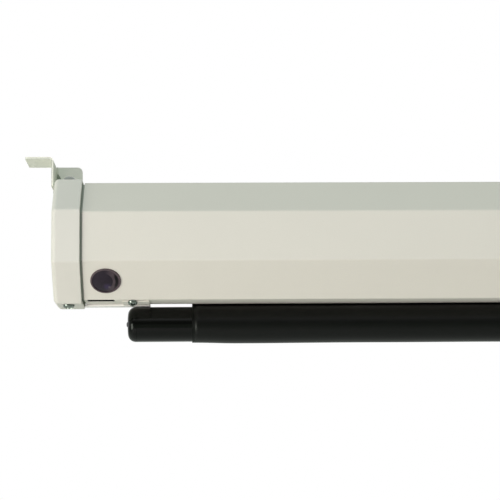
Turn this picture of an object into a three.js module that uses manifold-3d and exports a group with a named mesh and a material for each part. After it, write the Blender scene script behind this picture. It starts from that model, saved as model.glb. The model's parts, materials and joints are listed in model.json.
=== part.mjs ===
// A motorised projection screen in an eight-sided case, hung from two brackets at a wall or ceiling.
// Millimetres. X runs along the case, with the motor end at -X. -Y faces the viewer. +Z is up.
import * as THREE from "three";
import { mergeVertices } from "three/addons/utils/BufferGeometryUtils.js";
import Module from "manifold-3d";

const wasm = await Module();
wasm.setup();

// Driving dimensions: the picture area and the fabric round it
const viewWidth = 1463;
const viewHeight = 1097;
const sideBorder = 30;
const bottomBorder = 30;
const topLeader = 200;
const fabricThickness = 0.38;
const spareWraps = 1.5;

// Driving dimensions: the case and its ends
const caseSheet = 1;
const rollClearance = 2.9;
const fabricMargin = 74;
const capWidth = 19;
const capProud = 2.5;
const capWall = 2.2;
const capEdgeRadius = 3;
const capReveal = 1.6;
const fabricPlane = 12.6;
const slotLead = 2.8;
const slotPastCorner = 1;

// Driving dimensions: the roller, the motor and the bottom bar
const rollerRadius = 20;
const rollerWall = 1.6;
const rollerHeight = 4;
const motorFit = 1.2;
const motorLength = 420;
const barRadius = 12;
const barWall = 1.2;
const barInset = 29.8;
const barBelowCase = 1.8;

// Driving dimensions: the brackets
const bracketSheet = 1.2;
const bracketRise = 20.3;
const flangeReach = 18.1;
const flangeDepth = 36.2;
const bracketCapGap = 2.9;
const wallCapGap = 0.7;
const wallPlateReach = 14.8;

// Clearances
const seatGap = 0.2;
const runningGap = 0.3;
const cutOver = 2;

// Sides of round shapes
const smallHoleSides = 12;
const holeSides = 16;
const rodSides = 20;
const roundSides = 32;
const cornerSegments = 6;
const rollerSides = 40;

// Lengths that follow from them
const fabricWidth = viewWidth + 2 * sideBorder;
const slotFront = fabricPlane - slotLead;
const travel = topLeader + viewHeight + bottomBorder;
const rimX = fabricWidth / 2 + fabricMargin;
const capOuterX = rimX + capWidth;
const caseEndX = rimX - capReveal;
const woundLength = travel + spareWraps * 2 * Math.PI * rollerRadius;
const woundRadius = Math.sqrt(rollerRadius ** 2 + (woundLength * fabricThickness) / Math.PI);
const rollerY = fabricPlane - fabricThickness / 2 - seatGap - woundRadius;
const caseInner = woundRadius - rollerY + rollClearance;
const caseApothem = caseInner + caseSheet;
const flatHalf = caseApothem * Math.tan(Math.PI / 8);
const slotBack = flatHalf + slotPastCorner;
const capApothem = caseApothem + capProud;
const motorRadius = rollerRadius - rollerWall - motorFit;
const bracketTop = capApothem + bracketRise;
const wallFront = capApothem + wallCapGap;
const wallBack = wallFront + bracketSheet;
const barAxisZ = -caseApothem - barBelowCase - barRadius;

// Finishes
function finish(color, roughness, metalness) {
  return new THREE.MeshStandardMaterial({ color, roughness, metalness });
}

const casePaint = finish(0xdedad0, 0.55, 0.1);
const capPlastic = finish(0xdcdad1, 0.5, 0);
const bracketPaint = finish(0xc9cabd, 0.55, 0.1);
const framePaint = finish(0x6f746a, 0.6, 0.2);
const blackPaint = finish(0x14160f, 0.4, 0.1);
const blackPlastic = finish(0x17181a, 0.5, 0);
const blackFabric = finish(0x101110, 0.9, 0);
const whiteFabric = finish(0xf2f2ee, 0.9, 0);
const screwSteel = finish(0xb9bcb8, 0.3, 0.9);
const rollerMetal = finish(0xb4b7ba, 0.4, 0.8);
const motorSteel = finish(0x8d9194, 0.4, 0.7);
const lensPurple = finish(0x39323a, 0.15, 0);
const boardGreen = finish(0x2f5b3a, 0.6, 0);
const partWhite = finish(0xe3e3de, 0.5, 0);
const brassPin = finish(0xc3a560, 0.35, 0.9);

// Turns a closed geometry into a solid for cutting and joining.
function solidOf(geometry) {
  const bare = geometry.clone();
  bare.deleteAttribute("normal");
  bare.deleteAttribute("uv");
  const merged = mergeVertices(bare);
  const corners = merged.index.array;
  const kept = [];
  for (let i = 0; i < corners.length; i += 3) {
    const [a, b, c] = [corners[i], corners[i + 1], corners[i + 2]];
    if (a !== b && b !== c && c !== a) kept.push(a, b, c);
  }
  const vertProperties = merged.attributes.position.array;
  const triVerts = new Uint32Array(kept);
  return new wasm.Manifold(new wasm.Mesh({ numProp: 3, vertProperties, triVerts }));
}

// Turns a solid back into a flat-shaded geometry.
function geometryOf(solid) {
  const mesh = solid.getMesh();
  const places = new Float32Array(mesh.numVert * 3);
  for (let i = 0; i < mesh.numVert; i += 1) {
    places.set(mesh.vertProperties.subarray(i * mesh.numProp, i * mesh.numProp + 3), i * 3);
  }
  const geometry = new THREE.BufferGeometry();
  geometry.setAttribute("position", new THREE.BufferAttribute(places, 3));
  geometry.setIndex(new THREE.BufferAttribute(new Uint32Array(mesh.triVerts), 1));
  const flat = geometry.toNonIndexed();
  flat.computeVertexNormals();
  return flat;
}

function join(...geometries) {
  return geometryOf(geometries.map(solidOf).reduce((all, next) => all.add(next)));
}

function cut(body, ...tools) {
  return geometryOf(tools.map(solidOf).reduce((left, tool) => left.subtract(tool), solidOf(body)));
}

// A box from one corner to the opposite one.
function boxFrom([x0, y0, z0], [x1, y1, z1]) {
  const box = new THREE.BoxGeometry(Math.abs(x1 - x0), Math.abs(y1 - y0), Math.abs(z1 - z0));
  return box.translate((x0 + x1) / 2, (y0 + y1) / 2, (z0 + z1) / 2);
}

// A profile of [radius, distance along X] turned about X. Points run so that the material is on their left.
function turned(profile, sides) {
  const points = profile.map(([r, x]) => new THREE.Vector2(r, x));
  return new THREE.LatheGeometry(points, sides).rotateZ(-Math.PI / 2);
}

// The same for an eight-sided piece: the first number is the distance from the axis to the flat.
function octagonTurned(profile) {
  const toCorner = 1 / Math.cos(Math.PI / 8);
  const points = profile.map(([flat, x]) => new THREE.Vector2(flat * toCorner, x));
  return new THREE.LatheGeometry(points, 8, Math.PI / 8).rotateZ(-Math.PI / 2);
}

// A straight rod along X, Y or Z from one place to another on that axis.
function rod(axis, radius, [x, y, z], length, sides) {
  const cylinder = new THREE.CylinderGeometry(radius, radius, Math.abs(length), sides);
  if (axis === "x") cylinder.rotateZ(-Math.PI / 2);
  if (axis === "z") cylinder.rotateX(Math.PI / 2);
  const middle = length / 2;
  const step = { x: [middle, 0, 0], y: [0, middle, 0], z: [0, 0, middle] }[axis];
  return cylinder.translate(x + step[0], y + step[1], z + step[2]);
}

function named(name, geometry, material) {
  const mesh = new THREE.Mesh(geometry, material);
  mesh.name = name;
  return mesh;
}

// Screws: a pan head with a cross recess on a plain shank, drawn along +Y with the head's seat at zero
function panScrew(headRadius, headHeight, shankRadius, shankLength) {
  const crownShare = 0.55;
  const recessWidthShare = 0.28;
  const recessLengthShare = 1.2;
  const recessDepthShare = 0.55;
  const profile = [
    [0, -shankLength],
    [shankRadius, -shankLength],
    [shankRadius, 0],
    [headRadius, 0],
    [headRadius, headHeight * (1 - crownShare)],
    [headRadius * (1 - crownShare / 4), headHeight * (1 - crownShare / 4)],
    [headRadius * crownShare, headHeight],
    [0, headHeight],
  ];
  const body = new THREE.LatheGeometry(profile.map(([r, y]) => new THREE.Vector2(r, y)), holeSides);
  const halfWide = (headRadius * recessWidthShare) / 2;
  const halfLong = (headRadius * recessLengthShare) / 2;
  const floor = headHeight * (1 - recessDepthShare);
  const top = headHeight + cutOver;
  const across = boxFrom([-halfLong, floor, -halfWide], [halfLong, top, halfWide]);
  const along = boxFrom([-halfWide, floor, -halfLong], [halfWide, top, halfLong]);
  return cut(body, across, along);
}

// Places a screw drawn along +Y so that its head points along the given direction.
function screwMesh(name, geometry, material, place, direction) {
  const mesh = named(name, geometry, material);
  mesh.position.set(...place);
  mesh.quaternion.setFromUnitVectors(new THREE.Vector3(0, 1, 0), new THREE.Vector3(...direction));
  return mesh;
}

// End caps: a cup over the end of the case with rounded outer edges
const capFloor = 2.4;
const capScrewInset = 9.1;
const capScrewY = -11.5;
const capScrewHead = 4;
const capScrewHeight = 2.6;
const capScrewShank = 2;
const capScrewX = -(rimX + capScrewInset);

function endCap(studHole) {
  const outer = capApothem;
  const inner = capApothem - capWall;
  const arcSteps = 5;
  const profile = [[0, -capOuterX]];
  for (let i = 0; i <= arcSteps; i += 1) {
    const turn = (Math.PI / 2) * (i / arcSteps);
    profile.push([
      outer - capEdgeRadius + capEdgeRadius * Math.sin(turn),
      -capOuterX + capEdgeRadius - capEdgeRadius * Math.cos(turn),
    ]);
  }
  profile.push([outer, -rimX], [inner, -rimX], [inner, -capOuterX + capFloor], [0, -capOuterX + capFloor]);
  const holes = [1, -1].map((up) =>
    rod(
      "z",
      capScrewShank + seatGap,
      [capScrewX, capScrewY, up * (inner - cutOver)],
      up * (capWall + 2 * cutOver),
      holeSides,
    ),
  );
  return cut(octagonTurned(profile), ...holes, studHole);
}

// End frames: a cast ring inside the cap and the case, with a web that carries the roller
const frameWall = 3;
const frameWeb = 3;
const frameWebInset = 5;
const frameIntoCase = 4;
const frameApothem = caseInner - seatGap;
const frameOuterX = -capOuterX + capFloor + seatGap;
const webOuterX = frameOuterX + frameWebInset;
const webInnerX = webOuterX + frameWeb;
const frameInnerX = -caseEndX + frameIntoCase;

function endFrame(...holes) {
  const inner = frameApothem - frameWall;
  const ring = octagonTurned([
    [0, webOuterX],
    [inner, webOuterX],
    [inner, frameOuterX],
    [frameApothem, frameOuterX],
    [frameApothem, frameInnerX],
    [inner, frameInnerX],
    [inner, webInnerX],
    [0, webInnerX],
  ]);
  const screwHoles = [1, -1].map((up) =>
    rod(
      "z",
      capScrewShank + seatGap,
      [capScrewX, capScrewY, up * (inner - cutOver)],
      up * (frameWall + 2 * cutOver),
      holeSides,
    ),
  );
  return cut(ring, ...screwHoles, ...holes);
}

// Hanger studs: a shoulder between bracket and cap, a neck in the bracket's hook slot and a head outside
const studY = 33;
const studZ = 10;
const studShank = 2.5;
const studShoulder = 6;
const studHead = 4;
const studHeadHeight = 1;
const legInnerX = -capOuterX - bracketCapGap;
const legOuterX = legInnerX - bracketSheet;

function studHole() {
  const start = -capOuterX - cutOver;
  return rod("x", studShank + seatGap, [start, studY, studZ], webInnerX + cutOver - start, holeSides);
}

function hangerStud() {
  const headSeat = legOuterX - seatGap;
  const profile = [
    [0, headSeat - studHeadHeight],
    [studHead, headSeat - studHeadHeight],
    [studHead, headSeat],
    [studShank, headSeat],
    [studShank, legInnerX + seatGap],
    [studShoulder, legInnerX + seatGap],
    [studShoulder, -capOuterX - seatGap],
    [studShank, -capOuterX - seatGap],
    [studShank, webInnerX],
    [0, webInnerX],
  ];
  return turned(profile, holeSides).translate(0, studY, studZ);
}

// Brackets: one folded sheet with a ceiling flange, a side leg that hooks the stud and a wall plate
const legFrontY = wallBack - flangeDepth;
const legBottomZ = capApothem;
const tailFrontY = 25;
const tailBottomZ = -8;
const wallPlateBottom = -24;
const wallPlateCorner = 3;
const hookRise = 6;
const wallScrewHole = 2.8;
const wallScrewRise = 14;
const gussetSize = 4.5;
const gussetHeight = 9;
const gussetDrop = 2.2;

function mountBracket() {
  const top = bracketTop;
  const under = top - bracketSheet;
  const plateEndX = -capOuterX + wallPlateReach;
  const flange = boxFrom([legOuterX - flangeReach, legFrontY, under], [legInnerX, wallBack, top]);
  const leg = boxFrom([legOuterX, legFrontY, legBottomZ], [legInnerX, wallBack, top]);
  const tailTop = legBottomZ + bracketSheet;
  const tail = boxFrom([legOuterX, tailFrontY, tailBottomZ], [legInnerX, wallBack, tailTop]);
  const plate = new THREE.Shape();
  const corner = plateEndX - wallPlateCorner;
  plate.moveTo(legOuterX, wallPlateBottom);
  plate.lineTo(corner, wallPlateBottom);
  plate.absarc(corner, wallPlateBottom + wallPlateCorner, wallPlateCorner, -Math.PI / 2, 0, false);
  plate.absarc(corner, under - wallPlateCorner, wallPlateCorner, 0, Math.PI / 2, false);
  plate.lineTo(legOuterX, under);
  plate.closePath();
  const sheetDepth = { depth: bracketSheet, bevelEnabled: false, curveSegments: cornerSegments };
  const wallPlate = new THREE.ExtrudeGeometry(plate, sheetDepth);
  wallPlate.rotateX(Math.PI / 2).translate(0, wallBack, 0);
  const dart = new THREE.Shape();
  dart.moveTo(legInnerX - bracketSheet / 2, wallFront + bracketSheet / 2);
  dart.lineTo(legInnerX + gussetSize, wallFront + bracketSheet / 2);
  dart.lineTo(legInnerX + gussetSize, wallFront);
  dart.lineTo(legInnerX, wallFront - gussetSize);
  dart.lineTo(legInnerX - bracketSheet / 2, wallFront - gussetSize);
  dart.closePath();
  const gusset = new THREE.ExtrudeGeometry(dart, { depth: gussetHeight, bevelEnabled: false });
  gusset.translate(0, 0, under - gussetDrop - gussetHeight);
  const hookWide = studShank + runningGap;
  const hookFrom = legOuterX - cutOver;
  const hookTo = legInnerX + cutOver;
  const mouth = boxFrom(
    [hookFrom, tailFrontY - cutOver, studZ + hookRise - hookWide],
    [hookTo, studY + hookWide, studZ + hookRise + hookWide],
  );
  const drop = boxFrom([hookFrom, studY - hookWide, studZ], [hookTo, studY + hookWide, studZ + hookRise]);
  const seat = rod("x", hookWide, [hookFrom, studY, studZ], hookTo - hookFrom, holeSides);
  const wallHoleX = (legInnerX + plateEndX) / 2;
  const wallHoles = [wallScrewRise, -wallScrewRise].map((z) =>
    rod("y", wallScrewHole, [wallHoleX, wallFront - cutOver, z], bracketSheet + 2 * cutOver, holeSides),
  );
  return cut(join(flange, leg, tail, wallPlate, gusset), mouth, drop, seat, ...wallHoles);
}

// The infrared window sits on the lower front flat of the case, above its sensor
const windowInset = 16.5;
const windowRadius = 10.25;
const windowNeck = 7.6;
const windowProud = 0.9;
const windowDepth = 3.2;
const carrierWall = 1;
const carrierDepth = 9;
const sensorBoard = 1.6;
const sensorWide = 5;
const sensorTall = 5.2;
const windowX = -rimX + windowInset;
const windowOutward = new THREE.Vector3(0, -1, -1).normalize();
const carrierInner = windowNeck + seatGap * 2;
const carrierOuter = carrierInner + carrierWall;
const carrierTop = caseInner - seatGap;
const carrierBottom = carrierTop - carrierDepth;

// Moves a piece drawn along +Y, measured outward from the case's axis, to the window's line.
function onWindowLine(object) {
  object.position.set(windowX, 0, 0);
  object.quaternion.setFromUnitVectors(new THREE.Vector3(0, 1, 0), windowOutward);
  return object;
}

function windowHole() {
  const reach = 4 * caseSheet;
  const drill = new THREE.CylinderGeometry(windowNeck + seatGap, windowNeck + seatGap, reach, roundSides);
  const turn = new THREE.Quaternion().setFromUnitVectors(new THREE.Vector3(0, 1, 0), windowOutward);
  const middle = windowOutward.clone().multiplyScalar(caseApothem - caseSheet / 2);
  return drill.applyQuaternion(turn).translate(windowX, middle.y, middle.z);
}

function turnedUp(profile, sides) {
  return new THREE.LatheGeometry(profile.map(([r, y]) => new THREE.Vector2(r, y)), sides);
}

function windowLens() {
  const seat = caseApothem + seatGap / 2;
  const face = seat + windowProud;
  const crown = windowProud / 2;
  return turnedUp(
    [
      [0, seat - windowDepth],
      [windowNeck, seat - windowDepth],
      [windowNeck, seat],
      [windowRadius, seat],
      [windowRadius, face - crown],
      [windowRadius - crown, face],
      [windowRadius / 2, face + crown],
      [0, face + crown + crown / 2],
    ],
    roundSides,
  );
}

// Sockets: a control jack under the case and a flush power inlet on top of it
const jackInset = 3.9;
const jackLong = 17.5;
const jackFrontY = -14.2;
const jackBackY = -1.5;
const jackWall = 1.3;
const jackDepth = 7;
const tongueWide = 1.2;
const inletInset = 10;
const inletLong = 24;
const inletFrontY = -1;
const inletBackY = 12;
const inletWall = 1.4;
const inletDepth = 12;
const inletPin = 1.2;
const inletPinPitch = 8.6;
const inletPinLengthShare = 0.8;
const inletBezel = 1.2;

// An open-mouthed socket body: a box with a recess, where up is +1 for a mouth at the top.
function socketBody(x0, x1, y0, y1, mouthZ, depth, wall, up) {
  const floorZ = mouthZ - up * depth;
  const body = boxFrom([x0 - wall, y0 - wall, mouthZ], [x1 + wall, y1 + wall, floorZ - up * wall]);
  return cut(body, boxFrom([x0, y0, mouthZ + up * cutOver], [x1, y1, floorZ]));
}

const jackX0 = -rimX + jackInset;
const jackX1 = jackX0 + jackLong;
const inletX0 = -rimX + inletInset;
const inletX1 = inletX0 + inletLong;

function controlJack() {
  const mouth = -caseInner + seatGap;
  const bodyPart = socketBody(jackX0, jackX1, jackFrontY, jackBackY, mouth, jackDepth, jackWall, -1);
  const tongueY = jackBackY - 2 * tongueWide;
  const tongueFoot = mouth + jackDepth + jackWall / 2;
  const tongue = boxFrom(
    [jackX0 + jackWall, tongueY, mouth + jackDepth / 3],
    [jackX1 - jackWall, tongueY + tongueWide, tongueFoot],
  );
  return join(bodyPart, tongue);
}

function powerInlet() {
  const mouth = caseApothem + seatGap;
  const bodyPart = socketBody(inletX0, inletX1, inletFrontY, inletBackY, mouth, inletDepth, inletWall, 1);
  const rimOut = 3 * inletWall;
  const bezelOuter = boxFrom(
    [inletX0 - rimOut, inletFrontY - rimOut, mouth],
    [inletX1 + rimOut, inletBackY + rimOut, mouth + inletBezel],
  );
  const bezelHole = boxFrom(
    [inletX0, inletFrontY, mouth - cutOver],
    [inletX1, inletBackY, mouth + inletBezel + cutOver],
  );
  return join(bodyPart, cut(bezelOuter, bezelHole));
}

function inletPins() {
  const floorZ = caseApothem + seatGap - inletDepth;
  const midX = (inletX0 + inletX1) / 2;
  const pinY = inletBackY - 3 * inletPin;
  return [-1, 1].map((side) =>
    rod(
      "z",
      inletPin,
      [midX + (side * inletPinPitch) / 2, pinY, floorZ + seatGap],
      inletDepth * inletPinLengthShare,
      smallHoleSides,
    ),
  );
}

// The case: a folded eight-sided sheet with a slot along its bottom for the fabric
const slotEndInset = 8;
const caseScrewInset = 4;
const caseScrewRise = 10;
const caseScrewHead = 3.4;
const caseScrewHeight = 1.8;
const caseScrewShank = 1.6;
const coverScrewInset = 34;
const coverScrewY = -10;
const coverScrewHead = 3.2;
const coverScrewHeight = 2.2;
const coverScrewShank = 1.7;

function caseShell() {
  const tube = octagonTurned([
    [caseInner, -caseEndX],
    [caseApothem, -caseEndX],
    [caseApothem, caseEndX],
    [caseInner, caseEndX],
    [caseInner, -caseEndX],
  ]);
  const low = -caseApothem - cutOver;
  const lowTop = -caseInner + cutOver;
  const slotX = caseEndX - slotEndInset;
  const slot = boxFrom([-slotX, slotFront, low], [slotX, slotBack, lowTop]);
  const jackHole = boxFrom([jackX0, jackFrontY, low], [jackX1, jackBackY, lowTop]);
  const inletOut = inletWall + seatGap;
  const inletHole = boxFrom(
    [inletX0 - inletOut, inletFrontY - inletOut, caseInner - cutOver],
    [inletX1 + inletOut, inletBackY + inletOut, caseApothem + cutOver],
  );
  const screwHoles = [];
  for (const side of [-1, 1]) {
    const coverX = side * (rimX - coverScrewInset);
    const coverPlace = [coverX, coverScrewY, low];
    screwHoles.push(rod("z", coverScrewShank + seatGap, coverPlace, lowTop - low, smallHoleSides));
    for (const up of [-1, 1]) {
      const backX = side * (caseEndX - caseScrewInset / 2);
      const place = [backX, caseInner - cutOver, up * caseScrewRise];
      screwHoles.push(rod("y", caseScrewShank + seatGap, place, caseSheet + 2 * cutOver, smallHoleSides));
    }
  }
  return cut(tube, slot, jackHole, inletHole, windowHole(), ...screwHoles);
}

// Slot covers: a thick strip that closes each end of the slot, with a thinner tab for its screw
const coverStart = 3.9;
const coverReach = 45.3;
const coverPlate = 1;
const coverStrip = 1.4;
const coverFrontY = 8.8;
const coverTabInset = 27;
const coverTabFront = -14.5;

function slotCover() {
  const x0 = -rimX + coverStart;
  const x1 = -rimX + coverReach;
  const top = -caseApothem - seatGap / 2;
  const bottom = top - coverPlate;
  const strip = boxFrom([x0, coverFrontY, top - coverStrip], [x1, flatHalf, top]);
  const tab = boxFrom([-rimX + coverTabInset, coverTabFront, bottom], [x1, coverFrontY + coverPlate, top]);
  const holeX = -rimX + coverScrewInset;
  const holePlace = [holeX, coverScrewY, bottom - cutOver];
  const hole = rod("z", coverScrewShank + seatGap, holePlace, coverPlate + 2 * cutOver, smallHoleSides);
  return cut(join(strip, tab), hole);
}

// The motor: a head on the left end frame, a sealed tube in the roller and two end-stop adjusters
const headStep = 0.8;
const headBoss = 6;
const lugInset = 22;
const lugLong = 20;
const lugWall = 1.8;
const lugTop = 6;
const lugBottom = -6;
const adjusterRadius = 2.6;
const adjusterDepth = 4;
const adjusterProud = 2;
const adjusterInset = 5;
const adjusterSlotWidthShare = 0.3;
const adjusterSlotDepthShare = 0.5;
const motorNeck = 9;
const headX0 = webInnerX + seatGap;
const headX1 = -rimX + lugInset + lugLong;
const motorX1 = headX1 + motorNeck + motorLength;
const shaftRadius = 5;
const shaftIntoMotor = 8;
const adjusterY = fabricPlane;
const headRadius = motorRadius + headStep;
const lugBackY = adjusterY + adjusterRadius + lugWall;
const adjusterXs = [-rimX + lugInset + adjusterInset, -rimX + lugInset + lugLong - adjusterInset];

function motorHead() {
  const boreLength = headX1 - headX0;
  const barrel = rod("x", headRadius, [headX0, rollerY, rollerHeight], boreLength, roundSides);
  const bossLength = frameWeb + seatGap;
  const boss = boxFrom(
    [headX0 - bossLength, rollerY - headBoss, rollerHeight - headBoss],
    [headX0 + cutOver, rollerY + headBoss, rollerHeight + headBoss],
  );
  const lug = boxFrom([-rimX + lugInset, rollerY, lugBottom], [headX1, lugBackY, lugTop]);
  const boreDepth = motorScrewDepth + cutOver + seatGap;
  const screwBores = motorScrewPlaces.map(([, y, z]) =>
    rod("x", motorScrewShank + seatGap, [headX0 - cutOver, y, z], boreDepth, smallHoleSides),
  );
  const wellDepth = adjusterDepth + seatGap + cutOver;
  const wells = adjusterXs.map((x) =>
    rod("z", adjusterRadius + runningGap, [x, adjusterY, lugBottom - cutOver], wellDepth, holeSides),
  );
  return cut(join(barrel, boss, lug), ...wells, ...screwBores);
}

function motorBossHole() {
  const half = headBoss + seatGap;
  return boxFrom(
    [webOuterX - cutOver, rollerY - half, rollerHeight - half],
    [webInnerX + cutOver, rollerY + half, rollerHeight + half],
  );
}

function motorTube() {
  const start = headX1 + seatGap;
  const neck = motorRadius - 2 * runningGap;
  const bore = shaftRadius + runningGap;
  const profile = [
    [0, start],
    [neck, start],
    [neck, start + motorNeck],
    [motorRadius, start + motorNeck],
    [motorRadius, motorX1],
    [bore, motorX1],
    [bore, motorX1 - shaftIntoMotor - seatGap],
    [0, motorX1 - shaftIntoMotor - seatGap],
  ];
  return turned(profile, roundSides).translate(0, rollerY, rollerHeight);
}

function adjuster(x) {
  const slotWide = adjusterRadius * adjusterSlotWidthShare;
  const slotDeep = adjusterProud * adjusterSlotDepthShare;
  const low = lugBottom - adjusterProud;
  const body = rod("z", adjusterRadius, [x, adjusterY, low], adjusterProud + adjusterDepth, holeSides);
  const slot = boxFrom(
    [x - adjusterRadius - cutOver, adjusterY - slotWide / 2, low - cutOver],
    [x + adjusterRadius + cutOver, adjusterY + slotWide / 2, low + slotDeep],
  );
  return cut(body, slot);
}

const motorScrewPitch = 11;
const motorScrewHead = 3.6;
const motorScrewHeight = 2.4;
const motorScrewShank = 2;
const motorScrewDepth = 3;
const motorScrewPlaces = [1, -1].map((up) => {
  return [webOuterX - seatGap, rollerY, rollerHeight + up * motorScrewPitch];
});

function motorScrewHoles() {
  return motorScrewPlaces.map(([x, y, z]) =>
    rod("x", motorScrewShank + seatGap, [x - cutOver, y, z], frameWeb + 2 * cutOver, smallHoleSides),
  );
}

// The roller: a grooved tube on a crown ring, a drive wheel and an idler plug
const idlerInset = 26;
const rollerX1 = rimX - idlerInset;
const crownFlange = 2;
const crownStandoff = 1.8;
const crownDepth = 7;
const wheelLength = 18;
const wheelGap = 6;
const plugDepth = 24;
const plugFlange = 2;
const pinRadius = 5;
const bushRadius = 9;
const bushFlange = 12;
const bushProud = 3;
const grooveWide = 6;
const grooveDeep = 1;
const rollerX0 = headX1 + crownStandoff + crownFlange + seatGap;
const rollerInner = rollerRadius - rollerWall;
const plugRadius = rollerInner - seatGap;

function onRoller(geometry) {
  return geometry.translate(0, rollerY, rollerHeight);
}

function rollerTube() {
  const tube = turned(
    [
      [rollerInner, rollerX0],
      [rollerRadius, rollerX0],
      [rollerRadius, rollerX1],
      [rollerInner, rollerX1],
      [rollerInner, rollerX0],
    ],
    rollerSides,
  );
  const groove = boxFrom(
    [rollerX0 - cutOver, -grooveWide / 2, rollerRadius - grooveDeep],
    [rollerX1 + cutOver, grooveWide / 2, rollerRadius + cutOver],
  );
  return onRoller(cut(tube, groove));
}

function fabricKey() {
  const half = grooveWide / 2 - seatGap;
  const low = rollerRadius - grooveDeep + seatGap;
  return onRoller(boxFrom([-fabricWidth / 2, -half, low], [fabricWidth / 2, half, rollerRadius - seatGap]));
}

function crownRing() {
  const bore = motorRadius + runningGap;
  const outer = rollerInner - seatGap;
  const seat = rollerX0 - seatGap;
  const profile = [
    [bore, seat - crownFlange],
    [rollerRadius, seat - crownFlange],
    [rollerRadius, seat],
    [outer, seat],
    [outer, seat + crownDepth],
    [bore, seat + crownDepth],
    [bore, seat - crownFlange],
  ];
  return onRoller(turned(profile, roundSides));
}

function driveWheel() {
  const start = motorX1 + wheelGap;
  const bore = shaftRadius + seatGap;
  const profile = [
    [bore, start],
    [plugRadius, start],
    [plugRadius, start + wheelLength],
    [bore, start + wheelLength],
    [bore, start],
  ];
  return onRoller(turned(profile, roundSides));
}

function driveShaft() {
  const start = motorX1 - shaftIntoMotor;
  const end = motorX1 + wheelGap + wheelLength;
  return onRoller(rod("x", shaftRadius, [start, 0, 0], end - start, rodSides));
}

function idlerPlug() {
  const bore = pinRadius + seatGap;
  const seat = rollerX1 + seatGap;
  const profile = [
    [bore, seat - plugDepth],
    [plugRadius, seat - plugDepth],
    [plugRadius, seat],
    [rollerRadius, seat],
    [rollerRadius, seat + plugFlange],
    [bore, seat + plugFlange],
    [bore, seat - plugDepth],
  ];
  return onRoller(turned(profile, roundSides));
}

function idlerPin() {
  const start = rollerX1 - plugDepth;
  const end = -webOuterX;
  return onRoller(rod("x", pinRadius, [start, 0, 0], end - start, rodSides));
}

function idlerBush() {
  const bore = pinRadius + runningGap;
  const webFace = -webInnerX;
  const profile = [
    [bore, webFace - seatGap - bushProud],
    [bushFlange, webFace - seatGap - bushProud],
    [bushFlange, webFace - seatGap],
    [bushRadius, webFace - seatGap],
    [bushRadius, -webOuterX],
    [bore, -webOuterX],
    [bore, webFace - seatGap - bushProud],
  ];
  return onRoller(turned(profile, roundSides));
}

function bushHole() {
  const place = [webOuterX - cutOver, rollerY, rollerHeight];
  return rod("x", bushRadius + seatGap, place, frameWeb + 2 * cutOver, roundSides);
}

// The fabric: wound on the roller, dropping through the slot and hemmed round the bar
const hemWall = 0.7;
const hemTabRise = 7;
const hemInner = barRadius + seatGap;
const hemOuter = hemInner + hemWall;
const hemTabTop = barAxisZ + hemOuter + hemTabRise;

function fabricRoll() {
  const inner = rollerRadius + seatGap;
  const half = fabricWidth / 2;
  const profile = [
    [inner, -half],
    [woundRadius, -half],
    [woundRadius, half],
    [inner, half],
    [inner, -half],
  ];
  return onRoller(turned(profile, rollerSides));
}

function fabricDrop() {
  const half = fabricThickness / 2;
  const end = fabricWidth / 2;
  return boxFrom([-end, fabricPlane - half, hemTabTop + seatGap], [end, fabricPlane + half, rollerHeight]);
}

function fabricHem() {
  const half = fabricWidth / 2;
  const round = rod("x", hemOuter, [-half, fabricPlane, barAxisZ], fabricWidth, rollerSides);
  const tabHalf = hemWall / 2;
  const tab = boxFrom([-half, fabricPlane - tabHalf, barAxisZ], [half, fabricPlane + tabHalf, hemTabTop]);
  const boreStart = [-half - cutOver, fabricPlane, barAxisZ];
  const bore = rod("x", hemInner, boreStart, fabricWidth + 2 * cutOver, rollerSides);
  return cut(join(round, tab), bore);
}

// The bottom bar: a round tube with a rounded plug at each end
const barCapRadius = 5.4;
const barCapRim = 0.6;
const barPlugDepth = 14;
const pipRadius = 1.7;
const pipHeight = 1;
const barHalf = rimX - barInset;
const barTubeHalf = barHalf - barCapRadius - barCapRim;

function weightBar() {
  const inner = barRadius - barWall;
  const profile = [
    [inner, -barTubeHalf],
    [barRadius, -barTubeHalf],
    [barRadius, barTubeHalf],
    [inner, barTubeHalf],
    [inner, -barTubeHalf],
  ];
  return turned(profile, rollerSides).translate(0, fabricPlane, barAxisZ);
}

function barCap() {
  const outerX = -barHalf;
  const seat = -barTubeHalf - seatGap;
  const plug = barRadius - barWall - seatGap;
  const arcSteps = 4;
  const profile = [
    [0, outerX - pipHeight],
    [pipRadius, outerX - pipHeight],
    [pipRadius, outerX],
  ];
  for (let i = 0; i <= arcSteps; i += 1) {
    const turn = (Math.PI / 2) * (i / arcSteps);
    profile.push([
      barRadius - barCapRadius + barCapRadius * Math.sin(turn),
      outerX + barCapRadius - barCapRadius * Math.cos(turn),
    ]);
  }
  profile.push([barRadius, seat], [plug, seat], [plug, seat + barPlugDepth], [0, seat + barPlugDepth]);
  return turned(profile, roundSides).translate(0, fabricPlane, barAxisZ);
}

// The control board stands on a tray behind the motor head
const trayInset = 8;
const trayLong = 60;
const trayHalf = 15;
const trayPlate = 2;
const postRadius = 2.5;
const postHeight = 7.6;
const postEdge = 4;
const boardThick = 1.6;
const boardOver = 3;
const trayX0 = -rimX + trayInset;
const trayX1 = trayX0 + trayLong;
const trayBackY = caseInner - seatGap;
const boardBackY = trayBackY - trayPlate - postHeight - seatGap;
const boardFrontY = boardBackY - boardThick;
const partBackY = boardFrontY - seatGap;
const terminalLong = 26;
const terminalTall = 9;
const terminalDeep = 6;
const terminalInset = 12;
const terminalZ = 9;
const relayWide = 12;
const relayTall = 13;
const relayDeep = 9;
const relayGap = 1;
const capacitorRadius = 6;
const capacitorLong = 24;
const capacitorGap = 1;
const capacitorZ = -6;

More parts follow.
